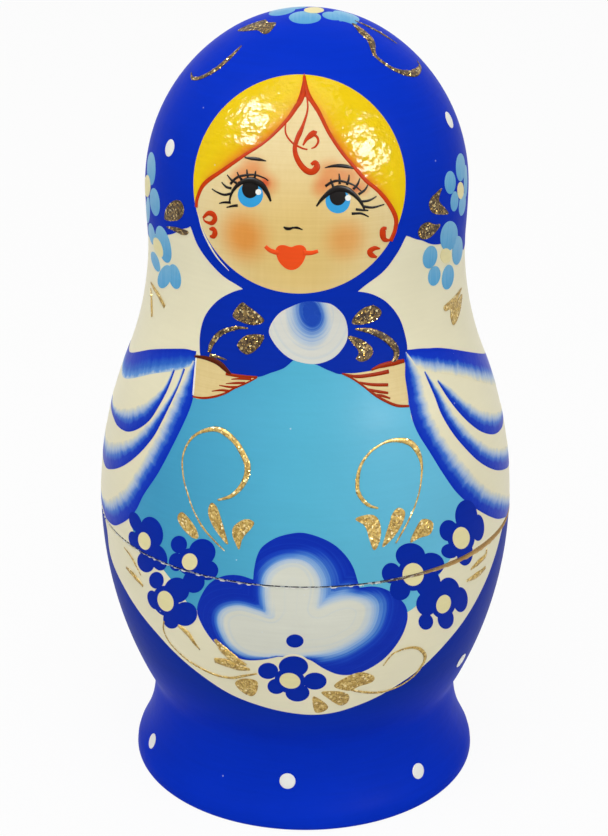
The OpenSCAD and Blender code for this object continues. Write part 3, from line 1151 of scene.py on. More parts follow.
# %% Build the stroke tree
strokes, given, stroke_keys = geometry_tree("Brush strokes", [
    ("Profile Points", INTEGER), ("Flatness", NUMBER), ("Paint", MATERIAL)])
paths = add_node(strokes, "GeometryNodeMeshToCurve", Mesh=given["Geometry"])
turned = add_node(strokes, "GeometryNodeSetCurveNormal", mode="FREE", Curve=paths,
                  Normal=attribute(strokes, "facing", "FLOAT_VECTOR"))
circle = add_node(strokes, "GeometryNodeCurvePrimitiveCircle",
                  Resolution=given["Profile Points"], Radius=0.5)
flatter = add_node(strokes, "ShaderNodeCombineXYZ", X=given["Flatness"], Y=1.0, Z=1.0)
profile = add_node(strokes, "GeometryNodeTransform", Geometry=circle, Scale=flatter)
swept = add_node(strokes, "GeometryNodeCurveToMesh", Curve=turned, Profile_Curve=profile,
                 Scale=attribute(strokes, "width", "FLOAT"), Fill_Caps=True)
finish_tree(strokes, swept, (given["Paint"], None))
print("stroke inputs:", list(stroke_keys))

# %% Note and sweep strokes
STROKE_FLATNESS = 0.24
PROFILE_POINTS = 8
COARSE_POINTS = 6
PX = 0.183
waiting = {}


def halves_of(s):
    """Which lengths lie on the lower and on the upper half."""
    return ("bottom", s < SEAM_LOW_S), ("top", s > SEAM_HIGH_S)


def pixel_stroke(part, colour, pixels, widths_px, level, step=0.4):
    """Notes one stroke through pixels of the photograph. Its widths are spread evenly over its length."""
    path = trace(pixels, "side", step * detail)
    measure = along(path)
    width_here = np.interp(measure / measure[-1], np.linspace(0, 1, len(widths_px)), widths_px) * PX
    spots = side_spots(path)
    places = lay(*spots.T, LIFT + LEVEL * level)
    directions = outward(*spots.T)
    for half, kept in halves_of(spots[:, 1]):
        breaks = np.flatnonzero(np.diff(np.concatenate([[0], kept, [0]])))
        for first, last in breaks.reshape(-1, 2):
            if last - first > 1:
                waiting.setdefault((part, half, colour), []).append(
                    (places[first:last], width_here[first:last], directions[first:last]))


def path_mesh(name, paths):
    """Lines of points as a mesh of edges that carries width and direction."""
    places = np.concatenate([path[0] for path in paths]) * MM
    starts = np.cumsum([0] + [len(path[0]) for path in paths])
    edges = [(i, i + 1) for a, b in zip(starts, starts[1:]) for i in range(a, b - 1)]
    mesh = bpy.data.meshes.new(name)
    mesh.from_pydata(places.tolist(), edges, [])
    widths = mesh.attributes.new("width", "FLOAT", "POINT")
    widths.data.foreach_set("value", np.concatenate([path[1] for path in paths]) * MM)
    directions = mesh.attributes.new("facing", "FLOAT_VECTOR", "POINT")
    directions.data.foreach_set("vector", np.concatenate([path[2] for path in paths]).ravel())
    return mesh


def add_grown(part, half, colour, mesh, is_flat=False):
    """Puts a grown mesh among the skins of paint."""
    if volume_of(mesh) < 0:
        mesh.flip_normals()
    places, triangles = mesh_arrays(mesh)
    if is_flat:
        a, b, c = (places[triangles[:, i]] for i in range(3))
        normals = np.cross(b - a, c - a)
        normals /= np.maximum(np.linalg.norm(normals, axis=1), 1e-15)[:, None]
        normals = np.repeat(normals, 3, axis=0)
    else:
        normals = np.empty(len(places) * 3)
        mesh.vertex_normals.foreach_get("vector", normals)
        normals = normals.reshape(-1, 3)[triangles.ravel()]
    skins.append(Skin(part, half, colour, places / MM, triangles, normals, np.zeros((len(places), 2))))
    bpy.data.meshes.remove(mesh)


def lay_strokes():
    """Sweeps all strokes noted so far."""
    for (part, half, colour), paths in waiting.items():
        mesh = path_mesh("strokes", paths)
        points = PROFILE_POINTS if detail == 1 else COARSE_POINTS
        swept = grow("strokes", strokes, stroke_keys, mesh, Profile_Points=points,
                     Flatness=STROKE_FLATNESS, Paint=materials[colour])
        add_grown(part, half, colour, swept)
    waiting.clear()


print("a pixel on the belly:", PX, "mm")

# %% [markdown]
# ## Dots and flakes
# White dots are single drops of paint: round, low and a little domed. Glitter flakes are tiny chips that
# lie in the gold at all angles. Both repeat one small shape, so both are instances: dots on listed points,
# flakes on points that a fixed seed scatters over the gold.

# %% Build the dot and flake trees
dots, given, dot_keys = geometry_tree("Dots", [("Flatness", NUMBER), ("Paint", MATERIAL)])
ball = add_node(dots, "GeometryNodeMeshUVSphere", Segments=28, Rings=8, Radius=0.5)
lower = add_node(dots, "ShaderNodeCombineXYZ", X=1.0, Y=1.0, Z=given["Flatness"])
drop = add_node(dots, "GeometryNodeTransform", Geometry=ball, Scale=lower)
upright = add_node(dots, "FunctionNodeAlignRotationToVector", axis="Z",
                   Vector=attribute(dots, "facing", "FLOAT_VECTOR"))
spread = add_node(dots, "GeometryNodeInstanceOnPoints", Points=given["Geometry"], Instance=drop,
                  Rotation=upright, Scale=attribute(dots, "width", "FLOAT"))
finish_tree(dots, spread, (given["Paint"], None))

flake_tree, given, flake_keys = geometry_tree("Glitter flakes", [
    ("Flakes per square metre", NUMBER), ("Flake Size", NUMBER), ("Seed", INTEGER), ("Paint", MATERIAL)])
scattered = add_node(flake_tree, "GeometryNodeDistributePointsOnFaces", Mesh=given["Geometry"],
                     Density=given["Flakes per square metre"], Seed=given["Seed"])
chip = add_node(flake_tree, "GeometryNodeMeshCylinder", Vertices=5, Radius=given["Flake Size"],
                Depth=sum_of("MULTIPLY", given["Flake Size"], 0.3))
tilt = add_node(flake_tree, "FunctionNodeRandomValue", data_type="FLOAT_VECTOR",
                i0=(-0.45, -0.45, 0.0), i1=(0.45, 0.45, 6.28), Seed=given["Seed"])
placed = add_node(flake_tree, "GeometryNodeInstanceOnPoints", Points=scattered, Instance=chip,
                  Rotation=scattered.outputs["Rotation"])
leaning = add_node(flake_tree, "GeometryNodeRotateInstances", Instances=placed, Rotation=tilt)
finish_tree(flake_tree, leaning, (given["Paint"], None))
print("dot inputs:", list(dot_keys), "flake inputs:", list(flake_keys))

# %% Set dots and scatter flakes
DOT_FLATNESS = 0.08
FLAKE_SEED = 7
FACES_UP = 0.6


def set_dots(part, colour, pixels, width_mm, level):
    """Sets round drops of paint at pixels of the photograph."""
    spots = cast(pixels)
    for half, kept in halves_of(spots[:, 1]):
        chosen = spots[kept]
        if len(chosen):
            places = lay(*chosen.T, LIFT + LEVEL * level)
            widths = np.full((len(chosen), 1), width_mm)
            mesh = path_mesh("dots", list(zip(places[:, None], widths, outward(*chosen.T)[:, None])))
            drops = grow("dots", dots, dot_keys, mesh, Flatness=DOT_FLATNESS, Paint=materials[colour])
            add_grown(part, half, colour, drops)


def scatter_flakes(part, per_mm2, size_mm):
    """Scatters flakes over the upward faces of all gold laid so far."""
    for half in HALVES:
        gold = [skin for skin in skins if skin.half == half and skin.colour in GLITTERS]
        starts = np.cumsum([0] + [len(skin.places) for skin in gold])
        places = np.concatenate([skin.places for skin in gold])
        faces = np.concatenate([skin.faces + start for skin, start in zip(gold, starts)])
        a, b, c = (places[faces[:, i]] for i in range(3))
        across = np.cross(b - a, c - a)
        middle = (a + b + c) / 3
        s = np.interp(middle[:, 2], line[:, 1], line_s)
        up = outward(np.arctan2(middle[:, 0], -middle[:, 1]), s)
        upper = (across * up).sum(1) > FACES_UP * np.linalg.norm(across, axis=1)
        mesh = bpy.data.meshes.new("gold")
        mesh.from_pydata((places * MM).tolist(), [], faces[upper].tolist())
        grown = grow("flakes", flake_tree, flake_keys, mesh, Flakes_per_square_metre=per_mm2 * 1e6,
                     Flake_Size=size_mm * MM, Seed=FLAKE_SEED, Paint=materials["glitter flake"])
        add_grown(part, half, "glitter flake", grown, True)


print("seed of the flakes:", FLAKE_SEED)
# %% [markdown]
# ## Scarf and knot
# The scarf, the ring round the face and the two lobes of the knot are one blue coat. The painter leaves
# the face bare in its middle. The coat wraps over the crown, so it is cut in the crown's chart, and its
# lower edge runs level round the back of the head.

# %% Plan the scarf
FACE_MIDDLE = (299.5, 184)
FACE_HALF = (106, 109.5)
UNDER_SCARF = (106.8, 110.3)
RIM_POINTS = 48
BACK_POINTS = 90
SCARF_EDGE = [
    [(463, 250), (440, 244), (420, 240), (406.2, 235.7)],
    [(406.2, 235.7), (396.8, 253.6), (382, 272.6), (357.8, 291.5)],
    [(357.8, 291.5), (372.9, 294.5), (388.2, 303.7), (400.4, 320.5), (406.5, 341.9), (407.3, 355.7)],
    [(407.3, 355.7), (402.7, 361.8), (371.3, 371.5), (343.8, 374.1), (330, 371), (314.7, 364.1)],
    [(293.3, 360.3), (284.1, 368), (271.8, 372.6), (256.5, 377.1), (233.6, 376.6), (215.2, 366.9),
     (201.4, 357.7)],
    [(201.4, 357.7), (199.9, 351.1), (200.2, 334.3), (204.5, 317.5), (215.2, 302.9), (230.5, 293),
     (243.1, 289)],
    [(243.1, 289), (224.2, 276.8), (209.5, 262), (197.9, 245.2), (190.5, 226.3)],
    [(190.5, 226.3), (185, 228.4), (167.4, 234.7), (150.5, 238.9)],
]
KNOT = [
    (269.1, 329.7), (278, 314.4), (292.5, 306), (307, 301.4), (322.4, 302.4), (333.1, 305.2),
    (343.8, 315.9), (347.6, 329.7), (346.1, 341.9), (337.7, 354.2), (327, 361.1), (313.2, 364.1),
    (296.3, 361.1), (284.1, 354.2), (273.4, 341.9),
]
KNOT_HEART = [
    (304, 303), (310, 302), (317, 306), (321, 315), (318, 323), (312, 325), (306, 320), (303, 311),
]

FADE_MM = 4.0
FADE_RIGHT_MM = -2.0
FADE_BELOW_MM = 1.2
print("parts of the scarf's edge:", len(SCARF_EDGE))

# %% Paint the scarf
def round_back(start, end):
    """Level line round the back of the head, between two spots, in the crown's chart."""
    theta = np.linspace(start[0], end[0] - math.tau, BACK_POINTS)
    s = np.linspace(start[1], end[1], BACK_POINTS)
    return crown_chart(np.stack([theta, s], 1))


def paint_scarf():
    """Blue coat with the face left bare, and the pale knot on top."""
    step = 0.6 * detail
    left_end = cast(SCARF_EDGE[-1][-1:])[0]
    right_end = cast(SCARF_EDGE[0][:1])[0]
    behind = round_back(left_end, right_end)[:-1]
    edge = np.concatenate([cornered(SCARF_EDGE, "crown", step), behind])
    bare = trace(oval(FACE_MIDDLE, FACE_HALF, 0, RIM_POINTS), "crown", step, True)
    fill("scarf", "royal blue", [edge], 1, "crown", [bare], grid=1.5)
    knot = trace(KNOT, "side", 0.5 * detail, True)
    heart = trace(KNOT_HEART, "side", 0.4 * detail, True)

    def swirl(points):
        to_heart = distance_to(points, np.append(heart, heart[:1], 0))
        to_heart = np.where(is_inside(points, heart), 0, to_heart)
        offset = points - heart.mean(0)
        right, up = (offset / np.maximum(np.hypot(*offset.T), 1e-9)[:, None]).T
        reach = FADE_MM + FADE_RIGHT_MM * np.clip(right, 0, 1) + FADE_BELOW_MM * np.clip(-up, 0, 1)
        return np.stack([to_heart * 0.5 + 0.2 * right, np.clip(to_heart / reach, 0, 1)], 1)

    fill("scarf", "knot fade", [knot], 2, paint_map=swirl, grid=0.6)


paint_scarf()
print("scarf skins:", len(skins))

# %% [markdown]
# ## Face and hair
# The face is the bare wood itself, smoothed and sealed. Two lobes of yellow hair frame it. Blush and eye
# shadow belong to the face's material. Their places come from the photograph through the same chart.

# %% Plan the face
HAIRLINE_LEFT = [
    (304.2, 75.8), (303.1, 94.7), (294.7, 109.5), (286.3, 121), (266.3, 141), (245.2, 154.7),
    (224.2, 169.4), (205.2, 183.1), (197.9, 196.8), (196.4, 207.2),
]
HAIRLINE_RIGHT = [
    (304.2, 75.8), (308.4, 94.7), (318.9, 112.6), (329.4, 133.7), (342, 152.6), (352.6, 165.2),
    (365.2, 180), (377.8, 190.5), (388.3, 203.1), (395.7, 217.8), (394.7, 230.5), (390.4, 240.9),
]
PARTING = [(304.2, 73.5), (302, 84), (299.5, 94), (296.5, 103), (300.5, 101), (304.3, 96.5), (309, 101.5),
           (312.5, 102.5), (309.5, 94), (306.6, 84)]
WARM = [(297, 248, 115, 0.9)]
BLUSH = [(243.5, 236, 36, 1.0), (345.5, 239.5, 29, 0.75)]
EYE_SHADOW = [
    (252, 171, 22, 0.7), (267, 184.4, 17, 0.6), (238, 178, 14, 0.6), (331, 174.8, 22, 0.7),
    (321, 188.3, 15, 0.6), (350, 177, 17, 0.6), (362, 188, 11, 0.6),
]
EYE_CORNERS = [(265, 183, 8, 0.9), (355, 189, 8, 0.7)]
FACE_RIM = [(198.3, 214), (202.2, 229), (208.8, 243.5), (217.5, 257.5), (229, 270.5)]
print("points of the hairlines:", len(HAIRLINE_LEFT), len(HAIRLINE_RIGHT))

# %% Paint the face
def ring_side(start, end, count=26):
    """Pixels along the rim of the face between two angles, a little under the scarf."""
    angles = np.radians(np.linspace(start, end, count))
    return np.stack([np.cos(angles), np.sin(angles)], 1) * UNDER_SCARF + FACE_MIDDLE


def paint_face():
    """Bare face and two lobes of hair."""
    step = 0.5 * detail
    pixel_fill("face", "face wood", [oval(FACE_MIDDLE, UNDER_SCARF, 0, RIM_POINTS)], 0, step=0.5, grid=1.4)
    for hairline, start, end in ((HAIRLINE_LEFT, 168, 273), (HAIRLINE_RIGHT, 31.5, -87)):
        front = trace(hairline, "side", step)
        back = trace(ring_side(start, end), "side", step)
        lobe = np.concatenate([front, back])
        fill("hair", "yellow hair", [lobe], 0.7, paint_map=fade_between(front, back))


def face_spots():
    """Blush and eye shadow as places on the face's paint map."""
    spots = []
    groups = ((WARM, "#fbecc0"), (BLUSH, "#ffc384"), (EYE_SHADOW, "#f89230"), (EYE_CORNERS, "#f07838"))
    for group, code in groups:
        for x, y, radius, strength in group:
            middle, right, below = side_chart(cast([(x, y), (x + radius, y), (x, y + radius)])) * UV_SCALE
            spots.append((middle, (abs(right[0] - middle[0]), abs(below[1] - middle[1])), code, strength))
    return spots


soft_spots = face_spots()
dab_face(soft_spots)
paint_face()
print("soft spots on the face:", len(soft_spots))

# %% [markdown]
# ## Two glints
# The lacquer on the hair mirrors two lamps. A glint shows where the wood's own direction lies halfway
# between the eye and the lamp. So the lamp's place follows from the glint's place: turn the line of
# sight over at the hair and walk out along it. These lamps only make glints and add no other light.

# %% Hang the two glint lamps
GLINTS = {"left lamp": (254, 119), "right lamp": (366, 149)}
GLINT_SIZE = 0.3
GLINT_POWER = 21.0
GLINT_FAR = 900
for name, pixel in GLINTS.items():
    spots = cast([pixel])
    spot = lay(*spots.T, 0)[0]
    direction = outward(*spots.T)[0]
    to_eye = (EYE - spot) / np.linalg.norm(EYE - spot)
    bounce = 2 * (direction @ to_eye) * direction - to_eye
    stand = spot + GLINT_FAR * bounce
    lamp = hang_lamp(name, stand * MM, spot * MM, GLINT_SIZE, GLINT_POWER)
    lamp.visible_diffuse = False
    print(name, "stands at", stand.round().tolist())

# %% [markdown]
# ## Eyes, mouth and curls
# Eyes are three drops, one on another: blue, black and a white glint. Lashes, brows and curls are single
# strokes with a fine pointed brush. Each stroke gets the widths that the photograph shows.

# %% Plan the features
EYES = [
    [((250.5, 194.7), (12.6, 12.6), "iris blue"), ((250.3, 188.8), (8.2, 9.4), "black"),
     ((258.5, 192), (2.9, 2.9), "white")],
    [((337.8, 201), (12.3, 12.3), "iris blue"), ((337.8, 196.4), (8.2, 9.0), "black"),
     ((347.9, 197.9), (2.9, 2.9), "white")],
]
EYE_LEVELS = (1, 2, 3.6)
FINE_WIDTHS = (2.7, 2.3, 1.2)
LIDS = [
    ([(229.4, 203), (231, 195), (234.7, 188.5), (241, 182.6), (250.5, 180), (261, 184.2), (267.3, 192.6),
     (270.9, 201.4)], (1.6, 2.8, 4, 5.2, 6.4, 6.2, 4.6, 2)),
    ([(316.4, 206.3), (322, 198.9), (330.5, 191.5), (338.9, 188.3), (348.4, 190.5), (357.8, 198.2),
     (363.1, 206.3), (364.4, 210.8)], (1.6, 3.6, 5.2, 6.4, 6, 4.4, 3.2, 2)),
]
FINE_BLACK = [
    [(230.5, 184), (235.5, 178.6), (241, 176), (253.7, 174.7), (264.2, 177.9), (268.4, 181)],
    [(325.3, 186.2), (332, 182), (339.9, 180.8), (352.6, 184.6), (361, 190.9)],
    [(230.9, 193.6), (224.2, 194.7), (216.7, 191.8), (212, 188.8)],
    [(231.6, 188.3), (226.3, 186.8), (221.7, 182.2)],
    [(236.8, 183), (231.6, 180), (227.3, 174.8)],
    [(242, 179.9), (238.8, 175.6), (237.2, 172)],
    [(248.2, 178.9), (247.3, 173.6), (246.9, 169.4)],
    [(254.5, 178.9), (255.3, 174.6), (255.8, 170.9)],
    [(230.9, 202.5), (224.2, 202.3), (219.4, 203.3)],
    [(237.9, 205.4), (232.6, 206), (226.7, 207.4)],
    [(339.7, 184), (339.5, 177.8), (338.9, 173.6)],
    [(346.8, 185), (348.6, 179.4), (349, 174.7)],
    [(353.1, 189.3), (357.6, 184), (359.7, 178.3)],
    [(358.4, 194.5), (364.7, 189.8), (368.2, 184.2)],
    [(361.2, 201.6), (369.4, 200.2), (376.3, 196.4)],
    [(362.6, 206.2), (372.6, 207.4), (384.1, 204.3)],
    [(333.9, 188.3), (331.8, 183.1), (330.5, 178.9)],
    [(351.6, 213.6), (361, 213.4), (368.6, 216.6)],
    [(355.7, 209.2), (362.1, 210), (368.3, 210.4)],
]
BROWS = [
    ([(244.8, 157.4), (251, 158.4), (257.9, 159.2), (266.2, 161)], (1.4, 3.4, 3.2, 1.0)),
    ([(324.8, 167.8), (331, 166.3), (338.8, 165.7), (347.3, 166.6), (354, 168.4)],
     (0.9, 2.6, 3.6, 3.6, 1.4)),
]
NOSE = [([(283.6, 226.8), (286.4, 228.4), (290, 228.6), (293.2, 227.3)], (1.5, 3.4, 3.0, 1.6)),
        ([(291.5, 227.9), (296.8, 227.6), (302.6, 229.6)], (1.6, 2.6, 1.0))]
MOUTH = [
    (276.2, 248.3), (279.5, 245.4), (284.8, 245.2), (291.1, 246.9), (296.8, 245.2), (302.4, 245.4),
    (305.9, 248.6), (306.3, 253.5), (303.1, 262), (297.8, 268), (291.5, 270), (285.2, 268),
    (278.9, 261.5), (276.2, 254),
]
MOUTH_CORNERS = [
    ([(265.4, 246.3), (270.5, 250.5), (278.8, 253)], (4, 4.8, 5.4)),
    ([(303.2, 252.8), (311.5, 252.8), (318, 251)], (5.4, 4.6, 3.6)),
]
CURLS = [
    ([(306.3, 93.8), (307.7, 108.4), (303.1, 125.2), (296.8, 140), (294.9, 150.5), (298.9, 162.1),
     (306.3, 170.5), (313, 171.6), (317, 166.8), (315.2, 162.4), (311.2, 164.6)], (1.2, 1.6, 2, 3, 5, 4.2,
     5, 5.6, 6.2, 6.6, 3)),
    ([(286, 121), (285.6, 132.6), (291.5, 142), (301, 147.8), (307.5, 149.6)], (1.4, 1.7, 1.8, 2, 1.6)),
    ([(303, 145.4), (306.3, 139.6), (311.5, 134.6), (314.6, 132.8), (308.6, 136.6)], (1.6, 3.4, 6, 6, 4)),
    ([(310.5, 134.2), (316.4, 136.4), (318.3, 141.4), (315.4, 146.6), (311.2, 148.6)],
     (2.6, 2.6, 2.4, 2, 1.2)),
    ([(203.1, 217.8), (208.4, 213.2), (213.7, 214.7), (215, 219.4), (211.6, 223.1), (205.4, 221.4),
     (203.6, 218.4)], (2.4, 4, 6, 6, 5, 3, 1.6)),
    ([(209.5, 229), (213.8, 229.3), (215.2, 233), (213.4, 236.2), (209.9, 236.4)], (2, 5.4, 6.4, 5.4, 2)),
    ([(392, 237.5), (389, 240.2), (384.4, 239.4), (382.7, 234.7), (383, 229.4), (386.4, 228.2)],
     (3, 3, 5, 7, 7, 3)),
    ([(379.9, 248.6), (374.5, 248.2), (369.7, 251.3), (371.5, 255), (376.7, 257.2)],
     (1.6, 4.8, 6.4, 5.4, 2)),
]
print("lashes and fine lines:", len(FINE_BLACK), "curls:", len(CURLS))

# %% Paint the features
def paint_features():
    """Eyes, brows, lashes, nose, mouth and the red lines of the hair."""
    for drops in EYES:
        for level, (middle, half_sizes, colour) in zip(EYE_LEVELS, drops):
            pixel_fill("features", colour, [oval(middle, half_sizes)], level, step=0.3, grid=0.6)
    pixel_fill("features", "lip red", [MOUTH], 1, step=0.3, grid=0.7)
    fine = [(pixels, FINE_WIDTHS) for pixels in FINE_BLACK]
    for colour, level, lines in (
            ("black", 2, LIDS + BROWS + NOSE + fine),
            ("lip red", 1, MOUTH_CORNERS),
            ("rust red", 1.5, CURLS)):
        for pixels, widths in lines:
            pixel_stroke("features", colour, pixels, widths, level, step=0.3)
    for hairline, widths in ((HAIRLINE_LEFT, (2.4, 5, 3.6, 2.4, 3.4, 4, 4.6, 4)),
                             (HAIRLINE_RIGHT, (2.4, 4.6, 3.6, 3.4, 3.6, 4, 5, 5))):
        pixel_stroke("features", "rust red", hairline, widths, 1.5)
    pixel_stroke("features", "cream", FACE_RIM, (0.6, 1.8, 2.2, 1.8, 0.6), 1.6)
    pixel_fill("features", "rust red", [PARTING], 1.5, step=0.3, grid=0.7)


paint_features()
print("skins so far:", len(skins), "stroke groups:", len(waiting))
# %% [markdown]
# ## Apron, skirt and hands
# A sky-blue apron fills the front between the sleeves and runs down over the seam. Below the seam a
# cream crescent is left between the apron's flowers and the blue skirt. The hands are bare wood again,
# with fingers drawn in red. The later coats cover the apron's edges, so its outline can be loose there.

# %% Plan the body
APRON = [
    (293.3, 359), (304, 362), (314.7, 363), (343.8, 372), (353, 377), (375.9, 394), (397.4, 404),
    (410, 403), (412, 420), (430, 448), (456, 487), (466, 501), (474, 511), (471, 530), (448, 562),
    (428, 590), (408.8, 611.2), (360, 625), (300, 632), (240, 625), (193.8, 608.2), (178, 588),
    (156, 560), (132, 526), (145, 492), (160, 470), (174, 443), (186, 414), (193, 398), (215, 394),
    (236, 386), (256.5, 376), (284, 366.5),
]
SKIRT_EDGE = [
    (107.5, 531), (111, 556.3), (125.1, 588.6), (139.1, 611), (157.3, 633.5), (177, 654.5),
    (202.2, 675.6), (230.3, 693.8), (258.4, 705), (286.4, 712), (312, 714.6), (334, 712.4), (356, 705.8),
    (378, 696.3), (400, 683.1), (422, 667), (444, 645), (466, 617.1), (485.1, 581.9), (495.4, 554),
    (501.2, 532),
]
LEFT_HAND = [
    (196.1, 357), (199.9, 356.2), (215.2, 363.9), (225.9, 371.6), (233.6, 374.6), (256.5, 376.6),
    (245.8, 383.3), (235.1, 387.9), (224.4, 393.5), (212.1, 396.8), (193.8, 395.8),
]
RIGHT_HAND = [
    (403.5, 360.4), (405, 377.1), (408.1, 403.2), (400.4, 406.2), (389.7, 403.2), (379, 397.8),
    (368.3, 390.9), (360.6, 383.3), (353, 378.7), (343, 373.6), (356, 373), (377.5, 369), (388.2, 363.4),
]
SLEEVE_SHADE = ([(194.8, 356.3), (206, 358), (218.3, 362.6), (227.5, 371), (231, 375)], (2.5, 4, 5.4, 6, 3))
HAND_LINES = [
    ([(225.9, 373.8), (241.2, 376.2), (257.5, 377.1)], (3, 3.4, 2)),
    ([(251.4, 379), (241.2, 378.6), (231.5, 379.2)], (2.6, 2.6, 1)),
    ([(245.3, 382.9), (236.6, 383), (226, 383.6)], (2.6, 2.4, 0.9)),
    ([(237.6, 387.1), (229, 386.9), (219.3, 385.2)], (2.6, 2.2, 0.9)),
    ([(229.6, 391.2), (221.3, 390.2), (211.9, 391.2)], (2.8, 2.2, 0.9)),
    ([(257, 377.6), (246, 383.3), (235, 388), (224.4, 393.6), (213, 397), (203, 398),
     (192.8, 396.6)], (1.4, 1.8, 1.8, 2.2, 2.4, 2.4, 1.6)),
    ([(371.3, 369.9), (379, 366.4), (391.2, 363.4), (404, 360.8)], (2.2, 5.2, 6, 4)),
    ([(342, 373.6), (356, 376.4), (371.3, 374.9), (388.6, 371.4)], (1.6, 3.8, 4, 4.4)),
    ([(359.1, 382.5), (372.9, 384.6), (387.9, 384.8)], (2.2, 3.4, 3.4)),
    ([(368.3, 389.4), (377.5, 391.4), (388, 393)], (2.2, 3.4, 2.6)),
    ([(374.5, 395), (381.5, 395.6), (390, 398.4)], (2.2, 3, 2)),
    ([(342.5, 373.8), (353, 378.9), (363.7, 386.3), (375.9, 395.5), (386.6, 401.6),
     (397.4, 405.7), (409, 406)], (1.6, 2, 2.2, 3, 3, 3.2, 2.4)),
]
SEAM_POINTS = 120
PAST_EDGE = 1.5
CUFF_GAP = [(196.4, 356.5), (194.9, 375), (193.2, 395)]
print("lines on the hands:", len(HAND_LINES))

# %% Paint the body
def paint_body():
    """Apron over the seam, cream crescent on the skirt, and both hands."""
    step = 0.6 * detail
    pixel_fill("apron", "sky blue", [APRON], 0.4, step=0.6, grid=1.5)
    edge = side_chart(cast(SKIRT_EDGE))
    first = edge[:1] - (PAST_EDGE, 0)
    last = edge[-1:] + (PAST_EDGE, 0)
    first[0, 1] = last[0, 1] = SEAM_S
    edge = flow(np.concatenate([first, edge, last]), step)
    above = np.linspace(last[0], first[0], SEAM_POINTS)
    fill("skirt", "cream", [np.concatenate([edge, above[1:-1]])], 0, grid=1.5)
    for hand in (LEFT_HAND, RIGHT_HAND):
        pixel_fill("hands", "hand wood", [hand], 1.4, grid=0.9)
    pixel_stroke("hands", "brown", *SLEEVE_SHADE, 2.2)
    for pixels, widths in HAND_LINES:
        pixel_stroke("hands", "hand red", pixels, widths, 2.2)
    pixel_stroke("hands", "white", CUFF_GAP, (1.6, 2.2, 2.2), 1.9)


paint_body()
print("skins so far:", len(skins))

# %% [markdown]
# ## The worn seam
# Opening the doll rubs its paint off beside the seam. A mask in the paint could show that. A thin coat in
# the colour of the ground is laid over it here, so that the worn edge stays crisp like the other edges.

# %% Wear the seam
# The rubbed coat takes the seam's colour: bare wood in its middle, and the painted dark shade of the gap
# towards its ends.
WORN_ANGLES = {"seam edge": (0.3, 2.4), "white": (-1.6, 0.4)}
THUMB_ANGLE = 1.0
THUMB_WIDTH = 0.42
CHIP_DEPTH = 0.16
RUBBED_DEPTH = 0.08
THUMB_DEPTH = 0.62
RAGGED_DEPTH = 0.03
WEAR_POINTS = 420


def wear_seam():
    """Bare wood below the seam on the right, and chips down to the white ground on the left."""
    for colour, (start, end) in WORN_ANGLES.items():
        theta = np.linspace(start, end, WEAR_POINTS)
        ragged = np.sin(theta * 61) + np.sin(theta * 97 + 1) + np.sin(theta * 149 + 2)
        if colour == "white":
            depth = CHIP_DEPTH * np.clip(ragged - 0.2, 0, 1)
        else:
            thumb = np.exp(-((theta - THUMB_ANGLE) / THUMB_WIDTH) ** 2)
            depth = RUBBED_DEPTH + THUMB_DEPTH * thumb + RAGGED_DEPTH * ragged * (0.4 + thumb)
        worn = np.stack([theta * ROUND, PAINT_LOW_S - np.maximum(depth, 0.01)], 1)
        top_edge = np.stack([theta[::-1] * ROUND, np.full(len(theta), SEAM_S)], 1)
        fill("wear", colour, [np.concatenate([worn, top_edge])], 3.6)


wear_seam()
print("worn places:", list(WORN_ANGLES))

# %% [markdown]
# ## Sleeves
# Each fold of the puffed sleeves is one sweep of a flat brush with blue on one edge and white on the
# other. So each fold is a band with a hard blue edge and a soft edge that melts into the cream. The
# folds run on past the side of the doll and end in a point where the brush lifts.

# %% Plan the sleeves
LEFT_FOLDS = [
    ([(130.2, 352.2), (152.4, 349.4), (181.1, 348.7), (196.4, 351.2)], [(124.4, 377.9), (152.4, 373.8),
     (175.4, 370.5), (194.3, 364.7)]),
    ([(113.7, 417.5), (118, 426.1), (127.3, 431.6), (138, 429), (149.5, 420.4), (158.1, 407.5),
     (166.7, 391.7), (174.9, 370.5)], [(114.8, 405.6), (126.6, 408.5), (140.9, 404.2), (155.3, 394.9),
     (165.3, 384.4), (173.2, 368)]),
    ([(105.3, 465.6), (112.2, 469.2), (123.7, 465.6), (138, 454.8), (152.4, 438.3), (161, 423.3),
     (169.6, 406), (178.2, 387.4), (185, 369.6)], [(107.9, 439.9), (116.5, 441.8), (129.4, 438.9),
     (143.8, 427.4), (156.7, 413.5), (168.2, 398.7), (176.8, 384.4), (183.2, 367.2)]),
    ([(103.6, 509.4), (106.5, 518), (113.7, 525.1), (120.8, 523.7), (129.4, 518), (136.6, 509.4),
     (143.8, 495), (158.1, 473.5), (171.1, 449.1), (181.1, 429), (188.3, 413.2), (192.6, 400.3),
     (194.6, 385.3), (196, 362.9)], [(105, 498.8), (116.5, 494.5), (129.4, 482), (138, 467.6),
     (152.4, 443.7), (163.9, 420.7), (175.4, 394.9), (186.8, 373.4), (193.3, 360.4)]),
]
